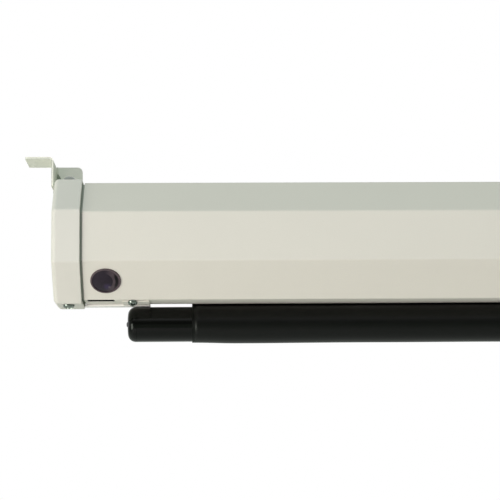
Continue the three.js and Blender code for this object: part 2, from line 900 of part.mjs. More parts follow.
function controlTray() {
  const plate = boxFrom([trayX0, trayBackY - trayPlate, -trayHalf], [trayX1, trayBackY, trayHalf]);
  const posts = [];
  for (const x of [trayX0 + postEdge, trayX1 - postEdge]) {
    for (const z of [-trayHalf + postEdge, trayHalf - postEdge]) {
      const foot = [x, boardBackY + seatGap, z];
      posts.push(rod("y", postRadius, foot, postHeight + trayPlate / 2, smallHoleSides));
    }
  }
  return join(plate, ...posts);
}

const terminalX0 = trayX0 + terminalInset;

function controlBoard() {
  const half = trayHalf + boardOver;
  return boxFrom([trayX0, boardFrontY, -half], [trayX1, boardBackY, half]);
}

function terminalBlock() {
  return boxFrom(
    [terminalX0, partBackY - terminalDeep, terminalZ - terminalTall / 2],
    [terminalX0 + terminalLong, partBackY, terminalZ + terminalTall / 2],
  );
}

function motorRelay() {
  const x1 = -rimX + lugInset - relayGap;
  const z1 = terminalZ - terminalTall;
  return boxFrom([x1 - relayWide, partBackY - relayDeep, z1 - relayTall], [x1, partBackY, z1]);
}

function capacitor() {
  const x0 = headX1 + capacitorGap;
  return rod("x", capacitorRadius, [x0, partBackY - capacitorRadius, capacitorZ], capacitorLong, rodSides);
}

// Leads inside the case: hand-picked places between the pieces that they join
const leadRadius = 1.5;
const leadSteps = 16;
const leadSides = 8;
const leadStub = 3;
const leadOff = 1;
const inletLeadFall = 6;
const inletLeadDip = 13;
const leadSwing = 7;
const motorLeadInset = 4;
const sensorLeadTurnY = 2;
const sensorLeadEdge = 2;
const sensorLeadStub = 8;
const terminalFaceY = partBackY - terminalDeep - seatGap;
const sensorBack = (carrierBottom - seatGap * 2 - sensorBoard) / Math.SQRT2;

// A round lead along a smooth path through the given places.
function lead(places) {
  const path = new THREE.CatmullRomCurve3(places.map((p) => new THREE.Vector3(...p)));
  const section = new THREE.Shape();
  for (let i = 0; i <= leadSides; i += 1) {
    const turn = (2 * Math.PI * i) / leadSides;
    const corner = [leadRadius * Math.cos(turn), leadRadius * Math.sin(turn)];
    if (i === 0) section.moveTo(...corner);
    else section.lineTo(...corner);
  }
  return new THREE.ExtrudeGeometry(section, { extrudePath: path, steps: leadSteps, curveSegments: 1 });
}

function inletLead() {
  const x = (inletX0 + inletX1) / 2;
  const z = caseApothem + seatGap - inletDepth - inletWall - seatGap;
  const y = (inletFrontY + inletBackY) / 2;
  const endX = terminalX0 + terminalLong / 4;
  const endZ = terminalZ + leadOff;
  return lead([
    [x, y, z],
    [x, y + leadOff, z - inletLeadFall],
    [endX, y + leadSwing, z - inletLeadDip],
    [endX, terminalFaceY - leadStub, endZ],
    [endX, terminalFaceY, endZ],
  ]);
}

function motorLead() {
  const x = headX1 - lugLong / 2;
  const y = lugBackY - motorLeadInset;
  const endX = terminalX0 + (3 * terminalLong) / 4;
  const endZ = terminalZ + leadOff;
  return lead([
    [x, y, lugTop + seatGap],
    [x, y, lugTop + leadStub],
    [endX, terminalFaceY - leadStub, endZ],
    [endX, terminalFaceY, endZ],
  ]);
}

function sensorLead() {
  const start = -sensorBack + leadRadius;
  const end = boardFrontY - seatGap;
  const endZ = sensorLeadEdge - trayHalf - boardOver;
  return lead([
    [windowX, start, start],
    [windowX, start + leadSwing, start - leadOff],
    [windowX, sensorLeadTurnY, start],
    [windowX, end - sensorLeadStub, endZ - leadOff],
    [windowX, end, endZ],
  ]);
}

// The object, in two mirrored ends and a middle
const model = new THREE.Group();
const leftEnd = new THREE.Group();
const rightEnd = new THREE.Group();
rightEnd.scale.x = -1;
model.add(leftEnd, rightEnd);

const capScrew = panScrew(capScrewHead, capScrewHeight, capScrewShank, capProud + caseSheet + frameWall);
const caseScrew = panScrew(caseScrewHead, caseScrewHeight, caseScrewShank, caseSheet + frameWall);
const coverScrew = panScrew(coverScrewHead, coverScrewHeight, coverScrewShank, coverPlate + 3 * caseSheet);
const motorScrew = panScrew(motorScrewHead, motorScrewHeight, motorScrewShank, frameWeb + motorScrewDepth);

const caseScrewX = -caseEndX + caseScrewInset / 2;
const caseScrewHoles = [1, -1].map((up) =>
  rod(
    "y",
    caseScrewShank + seatGap,
    [caseScrewX, frameApothem - frameWall - cutOver, up * caseScrewRise],
    frameWall + 2 * cutOver,
    smallHoleSides,
  ),
);
const jackNotch = boxFrom(
  [jackX0 - 2 * jackWall, jackFrontY - 2 * jackWall, -caseApothem],
  [jackX1, jackBackY + 2 * jackWall, -caseInner + jackDepth + 2 * jackWall],
);
const frames = {
  left: () => endFrame(studHole(), motorBossHole(), ...motorScrewHoles(), ...caseScrewHoles, jackNotch),
  right: () => endFrame(studHole(), bushHole(), ...caseScrewHoles),
};

for (const [side, group] of [["left", leftEnd], ["right", rightEnd]]) {
  group.add(
    named(side + "_end_cap", endCap(studHole()), capPlastic),
    named(side + "_end_frame", frames[side](), framePaint),
    named(side + "_mount_bracket", mountBracket(), bracketPaint),
    named(side + "_hanger_stud", hangerStud(), screwSteel),
    named(side + "_slot_cover", slotCover(), casePaint),
    named(side + "_bar_cap", barCap(), blackPlastic),
  );
  for (const [place, up] of [["top", 1], ["bottom", -1]]) {
    const headZ = up * (capApothem + seatGap / 2);
    group.add(
      screwMesh(
        side + "_cap_screw_" + place,
        capScrew,
        screwSteel,
        [capScrewX, capScrewY, headZ],
        [0, 0, up],
      ),
      screwMesh(
        side + "_case_screw_" + place,
        caseScrew,
        screwSteel,
        [caseScrewX, caseApothem + seatGap / 2, up * caseScrewRise],
        [0, 1, 0],
      ),
    );
  }
  const coverPlace = [-rimX + coverScrewInset, coverScrewY, -caseApothem - coverPlate - seatGap];
  group.add(screwMesh(side + "_cover_screw", coverScrew, screwSteel, coverPlace, [0, 0, -1]));
}

const sensorTop = carrierBottom + sensorTall;
model.add(
  named("case_shell", caseShell(), casePaint),
  onWindowLine(named("ir_window", windowLens(), lensPurple)),
  onWindowLine(
    named(
      "ir_carrier",
      turnedUp(
        [
          [carrierInner, carrierBottom],
          [carrierOuter, carrierBottom],
          [carrierOuter, carrierTop],
          [carrierInner, carrierTop],
          [carrierInner, carrierBottom],
        ],
        roundSides,
      ),
      blackPlastic,
    ),
  ),
  onWindowLine(
    named(
      "ir_receiver_board",
      new THREE.CylinderGeometry(carrierOuter, carrierOuter, sensorBoard, roundSides).translate(
        0,
        carrierBottom - seatGap - sensorBoard / 2,
        0,
      ),
      boardGreen,
    ),
  ),
  onWindowLine(
    named(
      "ir_sensor",
      boxFrom([-sensorWide / 2, carrierBottom, -sensorWide / 2], [sensorWide / 2, sensorTop, sensorWide / 2]),
      blackPlastic,
    ),
  ),
  named("control_jack", controlJack(), blackPlastic),
  named("power_inlet", powerInlet(), blackPlastic),
  named("motor_head", motorHead(), blackPlastic),
  named("motor_tube", motorTube(), motorSteel),
  named("idler_bush", idlerBush(), partWhite),
  named("control_tray", controlTray(), blackPlastic),
  named("control_board", controlBoard(), boardGreen),
  named("terminal_block", terminalBlock(), partWhite),
  named("motor_relay", motorRelay(), partWhite),
  named("run_capacitor", capacitor(), partWhite),
  named("inlet_lead", inletLead(), blackPlastic),
  named("motor_lead", motorLead(), blackPlastic),
  named("sensor_lead", sensorLead(), blackPlastic),
);
inletPins().forEach((pin, i) => model.add(named("inlet_pin_" + (i + 1), pin, brassPin)));
motorScrewPlaces.forEach((place, i) =>
  model.add(screwMesh("motor_screw_" + (i + 1), motorScrew, screwSteel, place, [-1, 0, 0])),
);
["upper", "lower"].forEach((stop, i) =>
  model.add(named(stop + "_limit_adjuster", adjuster(adjusterXs[i]), partWhite)),
);

model.add(
  named("roller_tube", rollerTube(), rollerMetal),
  named("fabric_key", fabricKey(), partWhite),
  named("crown_ring", crownRing(), blackPlastic),
  named("drive_wheel", driveWheel(), blackPlastic),
  named("drive_shaft", driveShaft(), screwSteel),
  named("idler_plug", idlerPlug(), blackPlastic),
  named("idler_pin", idlerPin(), screwSteel),
  named("fabric_roll", fabricRoll(), blackFabric),
  named("fabric_drop", fabricDrop(), whiteFabric),
  named("fabric_hem", fabricHem(), blackFabric),
  named("weight_bar", weightBar(), blackPaint),
);

// The origin is the middle of the whole object's box.
const boxFront = -capApothem;
const boxBottom = barAxisZ - hemOuter;
model.position.set(0, -(boxFront + wallBack) / 2, -(boxBottom + bracketTop) / 2);

export default model;
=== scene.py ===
"""Dresses the frame of a motorised projection screen: an eight-sided case on two folded brackets,
with a weighted bottom bar that comes down on its cloth.

Metres. X runs along the case with the motor end at -X, -Y faces the viewer and +Z is up.
"""

import json
import math

import bmesh
import bpy
import numpy as np
from bpy.props import FloatProperty, FloatVectorProperty, PointerProperty
from mathutils import Matrix, Vector
from mathutils.geometry import delaunay_2d_cdt


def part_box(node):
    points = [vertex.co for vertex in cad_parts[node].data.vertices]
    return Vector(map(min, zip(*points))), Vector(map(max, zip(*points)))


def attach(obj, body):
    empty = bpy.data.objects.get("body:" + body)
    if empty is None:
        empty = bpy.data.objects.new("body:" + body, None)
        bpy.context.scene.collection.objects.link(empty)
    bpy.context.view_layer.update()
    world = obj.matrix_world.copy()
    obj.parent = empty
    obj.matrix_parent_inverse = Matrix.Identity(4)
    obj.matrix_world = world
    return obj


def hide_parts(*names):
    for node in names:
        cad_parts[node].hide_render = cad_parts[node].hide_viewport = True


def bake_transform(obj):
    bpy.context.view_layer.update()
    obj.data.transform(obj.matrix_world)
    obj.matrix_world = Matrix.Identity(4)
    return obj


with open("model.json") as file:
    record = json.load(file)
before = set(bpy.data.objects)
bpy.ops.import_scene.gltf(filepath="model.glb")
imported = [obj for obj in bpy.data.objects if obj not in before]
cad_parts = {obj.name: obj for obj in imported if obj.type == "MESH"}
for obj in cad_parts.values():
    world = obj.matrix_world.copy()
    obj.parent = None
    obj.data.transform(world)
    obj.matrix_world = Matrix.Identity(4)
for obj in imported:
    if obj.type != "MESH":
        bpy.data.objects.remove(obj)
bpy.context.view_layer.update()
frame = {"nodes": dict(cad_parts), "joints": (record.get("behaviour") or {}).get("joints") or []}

bl_info = {
    "name": "Projection screen",
    "version": (1, 0, 0),
    "blender": (4, 5, 0),
    "location": "3D View > Sidebar > Screen",
    "description": "Builds the case, end fittings, bottom bar, cloth and stage of a projection screen",
    "category": "Object",
}

# Places and sizes that come from the frame
MM = 0.001


def node_box(node):
    """A node's lowest and highest corner as arrays."""
    low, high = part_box(node)
    return np.array(low), np.array(high)


def node_middle(node):
    """The middle of a node's box."""
    low, high = node_box(node)
    return (low + high) / 2


def half_height(node):
    """Half of a node's height."""
    low, high = node_box(node)
    return (high[2] - low[2]) / 2


ENDS = (("left", -1), ("right", 1))
CASE_LOW, CASE_HIGH = node_box("case_shell")
AXIS_Y, AXIS_Z = node_middle("case_shell")[1:]
CASE_APOTHEM = half_height("case_shell")
CAP_APOTHEM = half_height("left_end_cap")
SLOT_PLANE = node_middle("fabric_drop")[1]
BAR_MIDDLE = node_middle("weight_bar")
BAR_LOW, BAR_HIGH = node_box("weight_bar")
BAR_RADIUS = half_height("weight_bar")
HEM_LOW, HEM_HIGH = node_box("fabric_hem")
DROP_LOW, DROP_HIGH = node_box("fabric_drop")
ROLL_LOW, ROLL_HIGH = node_box("fabric_roll")
TRAVEL = next(j["range_m"][1] for j in frame["joints"] if j["name"] == "screen_drop")
JACK_LOW, JACK_HIGH = node_box("control_jack")
JACK_MOUTH_LOW = JACK_LOW[:2] + np.array([1.0, -0.9]) * MM
JACK_MOUTH_HIGH = np.array([JACK_HIGH[0] - 1.0 * MM, JACK_LOW[1] + 8.2 * MM])

# Sizes that more than one piece goes by
HALF_SIDE = math.pi / 8  # half the turn from one side of the case to the next
CUT_OUTSIDE, CUT_INSIDE = 2 * MM, 3 * MM  # how far a cutter reaches either side of the sheet's outer face
WINDOW_RADIUS = 10.25 * MM
TAB_HOLE = 1.9 * MM  # radius of the hole for the slot cover's screw


def span(node, way):
    """A node's least and greatest distance from the middle along X, on its own side."""
    low, high = node_box(node)
    return sorted((way * low[0], way * high[0]))


def window_place():
    """The middle of the window's seat on the case and the way that it faces."""
    outward = np.array([0.0, -1.0, -1.0]) / math.sqrt(2)
    seat = np.array([node_middle("ir_window")[0], AXIS_Y, AXIS_Z]) + outward * CASE_APOTHEM
    return seat, outward


# Settings
def size(name, text, default):
    """A length that a user may change."""
    return FloatProperty(name=name, description=text, default=default, min=0.0, unit="LENGTH", precision=5)


def share(name, text, default, high=1.0):
    """A plain number, zero or more."""
    return FloatProperty(name=name, description=text, default=default, min=0.0, max=high, precision=3)


def colour(name, text, default):
    """A colour that a user may change, as linear red, green and blue."""
    return FloatVectorProperty(name=name, description=text, default=default, size=3, min=0.0, max=1.0, subtype="COLOR")


class CaseSettings(bpy.types.PropertyGroup):
    """The folded case and the plates over the ends of its slot."""

    bend: size("Bend radius", "Outer radius of the eight folds", 2.2 * MM)
    sheet: size("Sheet", "Thickness of the case's sheet", 1.0 * MM)
    slot_end: size("Slot end", "Plain sheet left at each end of the slot", 8 * MM)
    slot_lead: size("Slot lead", "Slot's front edge ahead of the cloth", 2.8 * MM)
    slot_past: size("Slot past the corner", "Slot's rear edge past the bottom flat's rear corner", 1.0 * MM)
    plate_corner: size("Plate corner", "Corner radius of the plates over the slot's ends", 0.8 * MM)
    paint: colour("Paint", "Warm off-white powder coat", (0.742, 0.715, 0.64))
    # Painted light: the strip's paler coat stands in for the light from below that it catches under the case.
    strip: colour("Strip", "Paler coat of the strip over the slot's end", (0.9, 0.9, 0.85))


class CapSettings(bpy.types.PropertyGroup):
    """The moulded end caps."""

    facet: size("Facet radius", "Radius where two flats of the cap meet", 2.6 * MM)
    edge: size("Edge radius", "Radius round the cap's outer face", 3.4 * MM)
    wall: size("Wall", "Thickness of the cap's side wall", 2.2 * MM)
    floor: size("Floor", "Thickness of the cap's outer face", 2.4 * MM)
    rim: size("Rim bevel", "Bevel along the cap's open edge", 0.7 * MM)
    plastic: colour("Plastic", "Satin off-white plastic", (0.73, 0.71, 0.645))


class BracketSettings(bpy.types.PropertyGroup):
    """The folded brackets and their hanger studs."""

    sheet: size("Sheet", "Thickness of the bracket's sheet", 1.2 * MM)
    gap: size("Gap", "Gap between the cap and the bracket's leg", 2.9 * MM)
    bend: size("Bend radius", "Radius of each fold at the middle of the sheet", 2.2 * MM)
    corner: size("Plate corner", "Corner radius of the wall plate", 3.2 * MM)
    hook_half: size("Half hook slot", "Half of the hook slot's width", 2.8 * MM)
    hook_rise: size("Hook rise", "Height of the hook slot's turn", 6 * MM)
    wall_hole: size("Wall hole", "Radius of the wall screw holes", 2.8 * MM)
    wall_rise: size("Wall hole rise", "Distance of each wall hole from the case's axis", 14 * MM)
    gusset: size("Gusset", "Reach of the pressed gusset in the corner", 5 * MM)
    gusset_height: size("Gusset height", "Height of the pressed gusset", 9 * MM)
    gusset_drop: size("Gusset drop", "Gusset's top below the flange's underside", 2.2 * MM)
    paint: colour("Paint", "Off-white powder coat", (0.785, 0.79, 0.70))
    # Painted shade: the gusset's darker colour stands in for the shade in the corner under the flange, not for a
    # thinner coat.
    thin: colour("Thin paint", "Thin, darker coat on the gusset", (0.25, 0.28, 0.22))


class WindowSettings(bpy.types.PropertyGroup):
    """The infrared window."""

    bezel: size("Bezel", "Width of the flat ring round the window's dome", 1.3 * MM)
    dome: size("Dome", "Height of the window's dome", 1.4 * MM)
    tint: colour("Tint", "Dark purple filter plastic", (0.020, 0.013, 0.022))


class ScrewSettings(bpy.types.PropertyGroup):
    """The pan-head screws with a cross recess."""

    recess_width: share("Recess width", "Width of the cross as a share of the head's radius", 0.3)
    recess_length: share("Recess length", "Half length of the cross as a share of the head's radius", 0.58)
    recess_depth: share("Recess depth", "Depth of the cross as a share of the head's height", 0.62)
    forward: size("Forward", "How far the slot covers' screws stand in front of their solids", 3.5 * MM)
    lean: FloatProperty(
        name="Lean", description="How far the slot covers' screws lean forward", default=0.45, subtype="ANGLE"
    )
    zinc: colour("Zinc", "Dull zinc plating", (0.26, 0.285, 0.262))


class BarSettings(bpy.types.PropertyGroup):
    """The weighted bottom bar and its plugs."""

    round_end: size("Round end", "Radius of the plug's rounded end", 5.4 * MM)
    wall: size("Wall", "Thickness of the bar's tube", 1.2 * MM)
    pip: size("Pip", "Radius of the moulding pip on the plug", 1.7 * MM)
    paint: colour("Paint", "Satin black paint", (0.0022, 0.0027, 0.002))
    plastic: colour("Plastic", "Black plastic of the plugs", (0.0022, 0.0027, 0.002))


class ClothSettings(bpy.types.PropertyGroup):
    """The projection cloth: wound, hanging and hemmed round the bar."""

    thread: size("Thread", "Spacing of the weave's threads", 0.55 * MM)
    thickness: size("Thickness", "Thickness of the cloth", 0.36 * MM)
    side_border: size("Side border", "Width of the black borders at the sides", 30 * MM)
    foot_border: size("Foot border", "Height of the black border above the hem", 23 * MM)
    picture: size("Picture height", "Height of the white picture area", 1.097)
    curl: size("Edge curl", "How far the side edges turn back half way down", 2.2 * MM)
    sag: size("Hem sag", "How far the hem's loop hangs below the bar away from its ends", 0.5 * MM)
    white: colour("White", "Matte white picture area", (0.86, 0.86, 0.84))
    black: colour("Black", "Black borders and hem", (0.0024, 0.0029, 0.0023))


class InsideSettings(bpy.types.PropertyGroup):
    """Finishes of what the case holds."""

    casting: colour("Casting", "Painted end frames", (0.34, 0.37, 0.31))
    black: colour("Black plastic", "Motor head, tray and sockets", (0.012, 0.012, 0.013))
    board: colour("Board", "Green circuit board", (0.02, 0.09, 0.035))
    pale: colour("Pale plastic", "Relay, terminals and bush", (0.72, 0.72, 0.69))
    motor: colour("Motor tube", "Zinc-plated motor tube", (0.36, 0.38, 0.39))
    roller: colour("Roller", "Mill-finish aluminium", (0.55, 0.57, 0.58))
    brass: colour("Brass", "Inlet pins", (0.62, 0.42, 0.14))


class StageSettings(bpy.types.PropertyGroup):
    """Floor, lamps and camera."""

    floor_drop: size("Floor drop", "Floor below the bar when it is all the way down", 0.05)
    ambient: share("Ambient", "Brightness of the room on matt surfaces", 0.315, 4.0)
    dim: share("Dim side", "How bright gloss sees the room behind the camera", 0.1)
    left: share("Left lamp", "Power of the lamp at the left in watts", 24.3, 500.0)
    low: share("Low lamp", "Power of the low lamp in front in watts", 21.6, 500.0)
    top: share("Top lamp", "Power of the lamp above in watts", 22.1, 500.0)
    back: share("Back lamp", "Power of the lamp behind in watts", 28.0, 500.0)
    pale: share("Floor glow", "What the camera's view of the floor gains, so that it stays pale", 0.5)
    lens: share("Focal length", "Camera's focal length in millimetres for a 36 mm sensor", 128.0, 500.0)


SETTINGS = {
    "screen_case": CaseSettings,
    "screen_caps": CapSettings,
    "screen_brackets": BracketSettings,
    "screen_window": WindowSettings,
    "screen_screws": ScrewSettings,
    "screen_bar": BarSettings,
    "screen_cloth": ClothSettings,
    "screen_inside": InsideSettings,
    "screen_stage": StageSettings,
}


# Surfaces worked out with numpy
def grid_faces(rows, columns, wrap=False):
    """Quads of a grid whose points run row by row. With wrap, the last column meets the first."""
    row, column = np.meshgrid(np.arange(rows - 1), np.arange(columns if wrap else columns - 1), indexing="ij")
    after = (column + 1) % columns
    corners = [row * columns + column, row * columns + after, (row + 1) * columns + after, (row + 1) * columns + column]
    return np.stack(corners, axis=-1).reshape(-1, 4)


def loft(rings):
    """A surface through rings of equally many points, each joined to the next round its whole length."""
    return np.concatenate(rings), grid_faces(len(rings), len(rings[0]), wrap=True)


def octagon_ring(x, apothem, corner, steps=6):
    """The rounded octagon about the case's axis at one place along it, with a flat on top. Each corner is an arc:
    its centre lies on the corner's own spoke, as far in as puts the arc against both flats, and the arc swings an
    eighth of a turn."""
    corner = max(corner, 0.05 * MM)
    spoke = np.repeat(np.arange(8) * 2 * HALF_SIDE + HALF_SIDE, steps + 1)
    swing = np.tile(np.linspace(-HALF_SIDE, HALF_SIDE, steps + 1), 8)
    reach = max(apothem - corner, 0.0) / math.cos(HALF_SIDE)
    corner = min(corner, apothem)
    y = reach * np.cos(spoke) + corner * np.cos(spoke + swing) + AXIS_Y
    z = reach * np.sin(spoke) + corner * np.sin(spoke + swing) + AXIS_Z
    return np.column_stack([np.full(len(y), x), y, z])


def arc(centre, radius, start, end, steps):
    """Places on a circle from one angle to another, in degrees."""
    turn = np.radians(np.linspace(start, end, steps + 1))
    return np.column_stack([centre[0] + radius * np.cos(turn), centre[1] + radius * np.sin(turn)])


def rounded_box(low, high, corner):
    """The outline of a rectangle between two corners of a plane, with its own corners rounded."""
    middles = ((0, 0, 180), (1, 0, 270), (1, 1, 0), (0, 1, 90))
    ends = np.array([low, high]) + [[corner], [-corner]]
    return np.concatenate([arc((ends[i, 0], ends[j, 1]), corner, start, start + 90, 4) for i, j, start in middles])


def swept(stations, section):
    """A section's columns at every station along X, after a first column that holds the station."""
    along = np.repeat(stations[:, None, None], len(section), axis=1)
    return np.concatenate([along, np.repeat(section[None], len(stations), axis=0)], axis=-1)


def run_length(section):
    """The length along a section up to each of its places."""
    return np.concatenate([[0], np.cumsum(np.linalg.norm(np.diff(section, axis=0), axis=1))])


def turned(profile, origin, axis, sides):
    """A profile of (radius, distance) carried round an axis: each point goes round a circle of its radius, in the
    plane across the axis at its distance from the origin."""
    profile = np.asarray(profile, float)
    along = np.asarray(axis, float)
    across = np.cross(along, [0.0, 0.0, 1.0] if abs(along[2]) < 0.9 else [0.0, 1.0, 0.0])
    across /= np.linalg.norm(across)
    aside = np.cross(along, across)
    turn = np.arange(sides) * 2 * math.pi / sides
    spokes = np.cos(turn)[:, None] * across + np.sin(turn)[:, None] * aside
    rings = profile[:, None, :1] * spokes[None] + profile[:, None, 1:] * along + np.asarray(origin, float)
    return rings.reshape(-1, 3), grid_faces(len(profile), sides, wrap=True)


def within(places, outline):
    """Whether places lie inside a closed outline: a level ray from each crosses it an odd number of times."""
    start, end = outline, np.roll(outline, -1, axis=0)
    x, y = places[:, :1], places[:, 1:]
    crosses = (start[:, 1] > y) != (end[:, 1] > y)
    rise = end[:, 1] - start[:, 1]
    at = start[:, 0] + (y - start[:, 1]) / np.where(rise == 0, 1, rise) * (end[:, 0] - start[:, 0])
    return (crosses & (x < at)).sum(axis=1) % 2 == 1


def flat_blank(outline, holes=(), folds=()):
    """Triangles of a flat blank: what lies inside its outline and outside its holes, with a line across it at each
    place where it will bend. Worked in millimetres."""
    points, edges = [], []
    for loop in (outline, *holes):
        first = len(points)
        points += (loop / MM).tolist()
        edges += [(first + i, first + (i + 1) % len(loop)) for i in range(len(loop))]
    for line in folds:
        edges.append((len(points), len(points) + 1))
        points += (np.asarray(line) / MM).tolist()
    made = delaunay_2d_cdt([Vector(p) for p in points], edges, [], 0, 1e-5)
    flat = np.array([v[:] for v in made[0]]) * MM
    faces = np.array(made[2])
    middles = flat[faces].mean(axis=1)
    kept = within(middles, outline)
    for hole in holes:
        kept &= ~within(middles, hole)
    return flat, faces[kept]


def with_wall(points, normals, faces, wall, rounding, steps=6):
    """Gives a sheet its wall. Each skin lies half a wall from the sheet along its normal, and a rim joins them
    round every edge: it follows half an ellipse whose reach along the sheet is the rounding."""
    directed = np.concatenate([faces[:, [0, 1]], faces[:, [1, 2]], faces[:, [2, 0]]])
    _, where, uses = np.unique(np.sort(directed, axis=1), axis=0, return_inverse=True, return_counts=True)
    edges = directed[uses[where.ravel()] == 1]
    outward = np.cross(points[edges[:, 1]] - points[edges[:, 0]], normals[edges[:, 0]])
    outward /= np.linalg.norm(outward, axis=1, keepdims=True)
    total = np.zeros_like(points)
    np.add.at(total, edges[:, 0], outward)
    np.add.at(total, edges[:, 1], outward)
    length = (total**2).sum(axis=1, keepdims=True)
    total = np.where(length > 0, 2 * total / np.maximum(length, 0.8), 0)
    turns = np.linspace(math.pi / 2, -math.pi / 2, steps + 1)
    layers = [points + normals * wall / 2 * math.sin(t) + total * rounding * (math.cos(t) - 1) for t in turns]
    count = len(points)
    rims = [np.column_stack([edges + k * count, edges[:, ::-1] + (k + 1) * count]) for k in range(steps)]
    skins = np.concatenate([faces, faces[:, ::-1] + steps * count])
    return np.concatenate(layers), skins, np.concatenate(rims)


def smooth_step(value):
    """Eases from zero to one with level ends."""
    value = np.clip(value, 0, 1)
    return value * value * (3 - 2 * value)


# Pieces
def linked(name, mesh, merged=None):
    """An object of a mesh, in the scene, with loose points gone and faces outward. Points closer together than the
    merging distance become one."""
    shape = bmesh.new()
    shape.from_mesh(mesh)
    if merged:
        bmesh.ops.remove_doubles(shape, verts=shape.verts, dist=merged)
    bmesh.ops.delete(shape, geom=[v for v in shape.verts if not v.link_faces], context="VERTS")
    bmesh.ops.recalc_face_normals(shape, faces=shape.faces)
    shape.to_mesh(mesh)
    shape.free()
    made = bpy.data.objects.new(name, mesh)
    bpy.context.scene.collection.objects.link(made)
    return made


def new_object(name, points, *face_sets):
    """A mesh object of these points and faces, with doubles merged."""
    mesh = bpy.data.meshes.new(name)
    mesh.from_pydata(points.tolist(), [], [face for faces in face_sets for face in faces.tolist()])
    return linked(name, mesh, merged=0.001 * MM)


def drill(piece, cutters):
    """Takes the cutters out of a piece and removes them."""
    for cutter in cutters:
        change = piece.modifiers.new("hole", "BOOLEAN")
        change.operation = "DIFFERENCE"
        change.solver = "EXACT"
        change.object = cutter
    cut = bpy.data.meshes.new_from_object(piece.evaluated_get(bpy.context.evaluated_depsgraph_get()))
    piece.modifiers.clear()
    piece.data = cut
    for cutter in cutters:
        bpy.data.objects.remove(cutter)


def block(low, high):
    """A box between two corners, for cutting."""
    corners = np.array([[x, y, z] for z in (low[2], high[2]) for y in (low[1], high[1]) for x in (low[0], high[0])])
    faces = np.array([[0, 2, 3, 1], [4, 5, 7, 6], [0, 1, 5, 4], [2, 6, 7, 3], [0, 4, 6, 2], [1, 3, 7, 5]])
    return new_object("cutter", corners, faces)


def drill_bit(start, axis, radius, length):
    """A round rod from a place along an axis, for cutting."""
    return new_object("cutter", *turned([(0, 0), (radius, 0), (radius, length), (0, length)], start, axis, 48))


def add_piece(name, shape, material, body, node=None, cutters=()):
    """Makes a piece of points and faces, drills and shades it, gives it its material, ties it to its body and hides
    the node that it stands for."""
    piece = new_object(name, *shape)
    if cutters:
        drill(piece, cutters)
    piece.data.shade_smooth()
    piece.data.set_sharp_from_angle(angle=math.radians(38))
    flats = piece.modifiers.new("flats_keep_their_shade", "WEIGHTED_NORMAL")
    flats.keep_sharp = True
    flats.weight = 60
    piece.data.materials.append(material)
    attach(piece, body)
    if node:
        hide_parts(node)


# Materials
class Wiring:
    """Adds nodes to a tree and joins them by socket name."""

    def __init__(self, tree):
        self.tree = tree

    def join(self, node, inputs):
        """Gives each input its value, or links it to the socket given for it."""
        for socket, value in inputs.items():
            if isinstance(value, bpy.types.NodeSocket):
                self.tree.links.new(value, node.inputs[socket])
            else:
                node.inputs[socket].default_value = value
        return node

    def add(self, kind, inputs=None, **settings):
        node = self.tree.nodes.new(kind)
        for key, value in settings.items():
            setattr(node, key, value)
        return self.join(node, inputs or {})

    def math(self, operation, first, second=0.0, third=0.0):
        return self.add("ShaderNodeMath", {0: first, 1: second, 2: third}, operation=operation).outputs[0]

    def times(self, first, second):
        return self.math("MULTIPLY", first, second)

    def plus_times(self, first, second, third):
        """The first times the second, plus the third."""
        return self.math("MULTIPLY_ADD", first, second, third)

    def swing(self, value):
        """How far a value is over a half."""
        return self.math("SUBTRACT", value, 0.5)

    def greatest(self, first, *rest):
        for value in rest:
            first = self.math("MAXIMUM", first, value)
        return first

    def vector(self, operation, first, second=(0.0, 0.0, 0.0)):
        made = self.add("ShaderNodeVectorMath", {0: first, 1: second}, operation=operation)
        return made.outputs["Value" if operation in ("DOT_PRODUCT", "LENGTH") else "Vector"]

    def scaled(self, vector, factor):
        return self.add("ShaderNodeVectorMath", {0: vector, "Scale": factor}, operation="SCALE").outputs[0]

    def mixed(self, factor, first, second):
        return self.add("ShaderNodeMix", {0: factor, 6: first, 7: second}, data_type="RGBA").outputs[2]

    def ranged(self, value, start, end, low=0.0, high=1.0, curve="LINEAR"):
        """Goes from low to high while the value goes from start to end."""
        inputs = {"Value": value, "From Min": start, "From Max": end, "To Min": low, "To Max": high}
        return self.add("ShaderNodeMapRange", inputs, interpolation_type=curve).outputs[0]

    def noise(self, place, scale, detail, **more):
        inputs = {"Vector": place, "Scale": scale, "Detail": detail, **more}
        return self.add("ShaderNodeTexNoise", inputs).outputs[0]

    def place(self):
        return self.add("ShaderNodeTexCoord").outputs["Object"]

    def bump(self, strength, distance, height):
        return self.add("ShaderNodeBump", {"Strength": strength, "Distance": distance, "Height": height}).outputs[0]


def coat(w, given):
    """Powder coat: fine flecks and slow clouds in the colour, uneven gloss and an orange-peel height."""
    place = w.place()
    fine = w.math("DIVIDE", 1.0, given["Fleck Size"])
    flecks = w.noise(place, fine, 2.0, Roughness=0.6)
    pits = w.add("ShaderNodeTexVoronoi", {"Vector": place, "Scale": w.times(fine, 0.55)}).outputs["Distance"]
    swing = w.swing(flecks)
    both = w.math("ADD", w.times(swing, 2.0), w.times(w.swing(w.noise(place, 22.0, 3.0)), 0.7))
    bright = w.plus_times(both, given["Fleck Strength"], 1.0)
    return bright, swing, 0.25, w.plus_times(pits, 0.4, w.times(flecks, 0.6))


def grain(w, given):
    """Moulded plastic: an etched grain, slow drift in the colour and uneven gloss."""
    place = w.place()
    fine = w.math("DIVIDE", 1.0, given["Grain Size"])
    etched = w.add("ShaderNodeTexVoronoi", {"Vector": place, "Scale": fine}, feature="SMOOTH_F1")
    swing = w.swing(w.noise(place, 35.0, 2.0))
    return w.plus_times(swing, 0.07, 1.0), swing, 0.2, etched.outputs["Distance"]


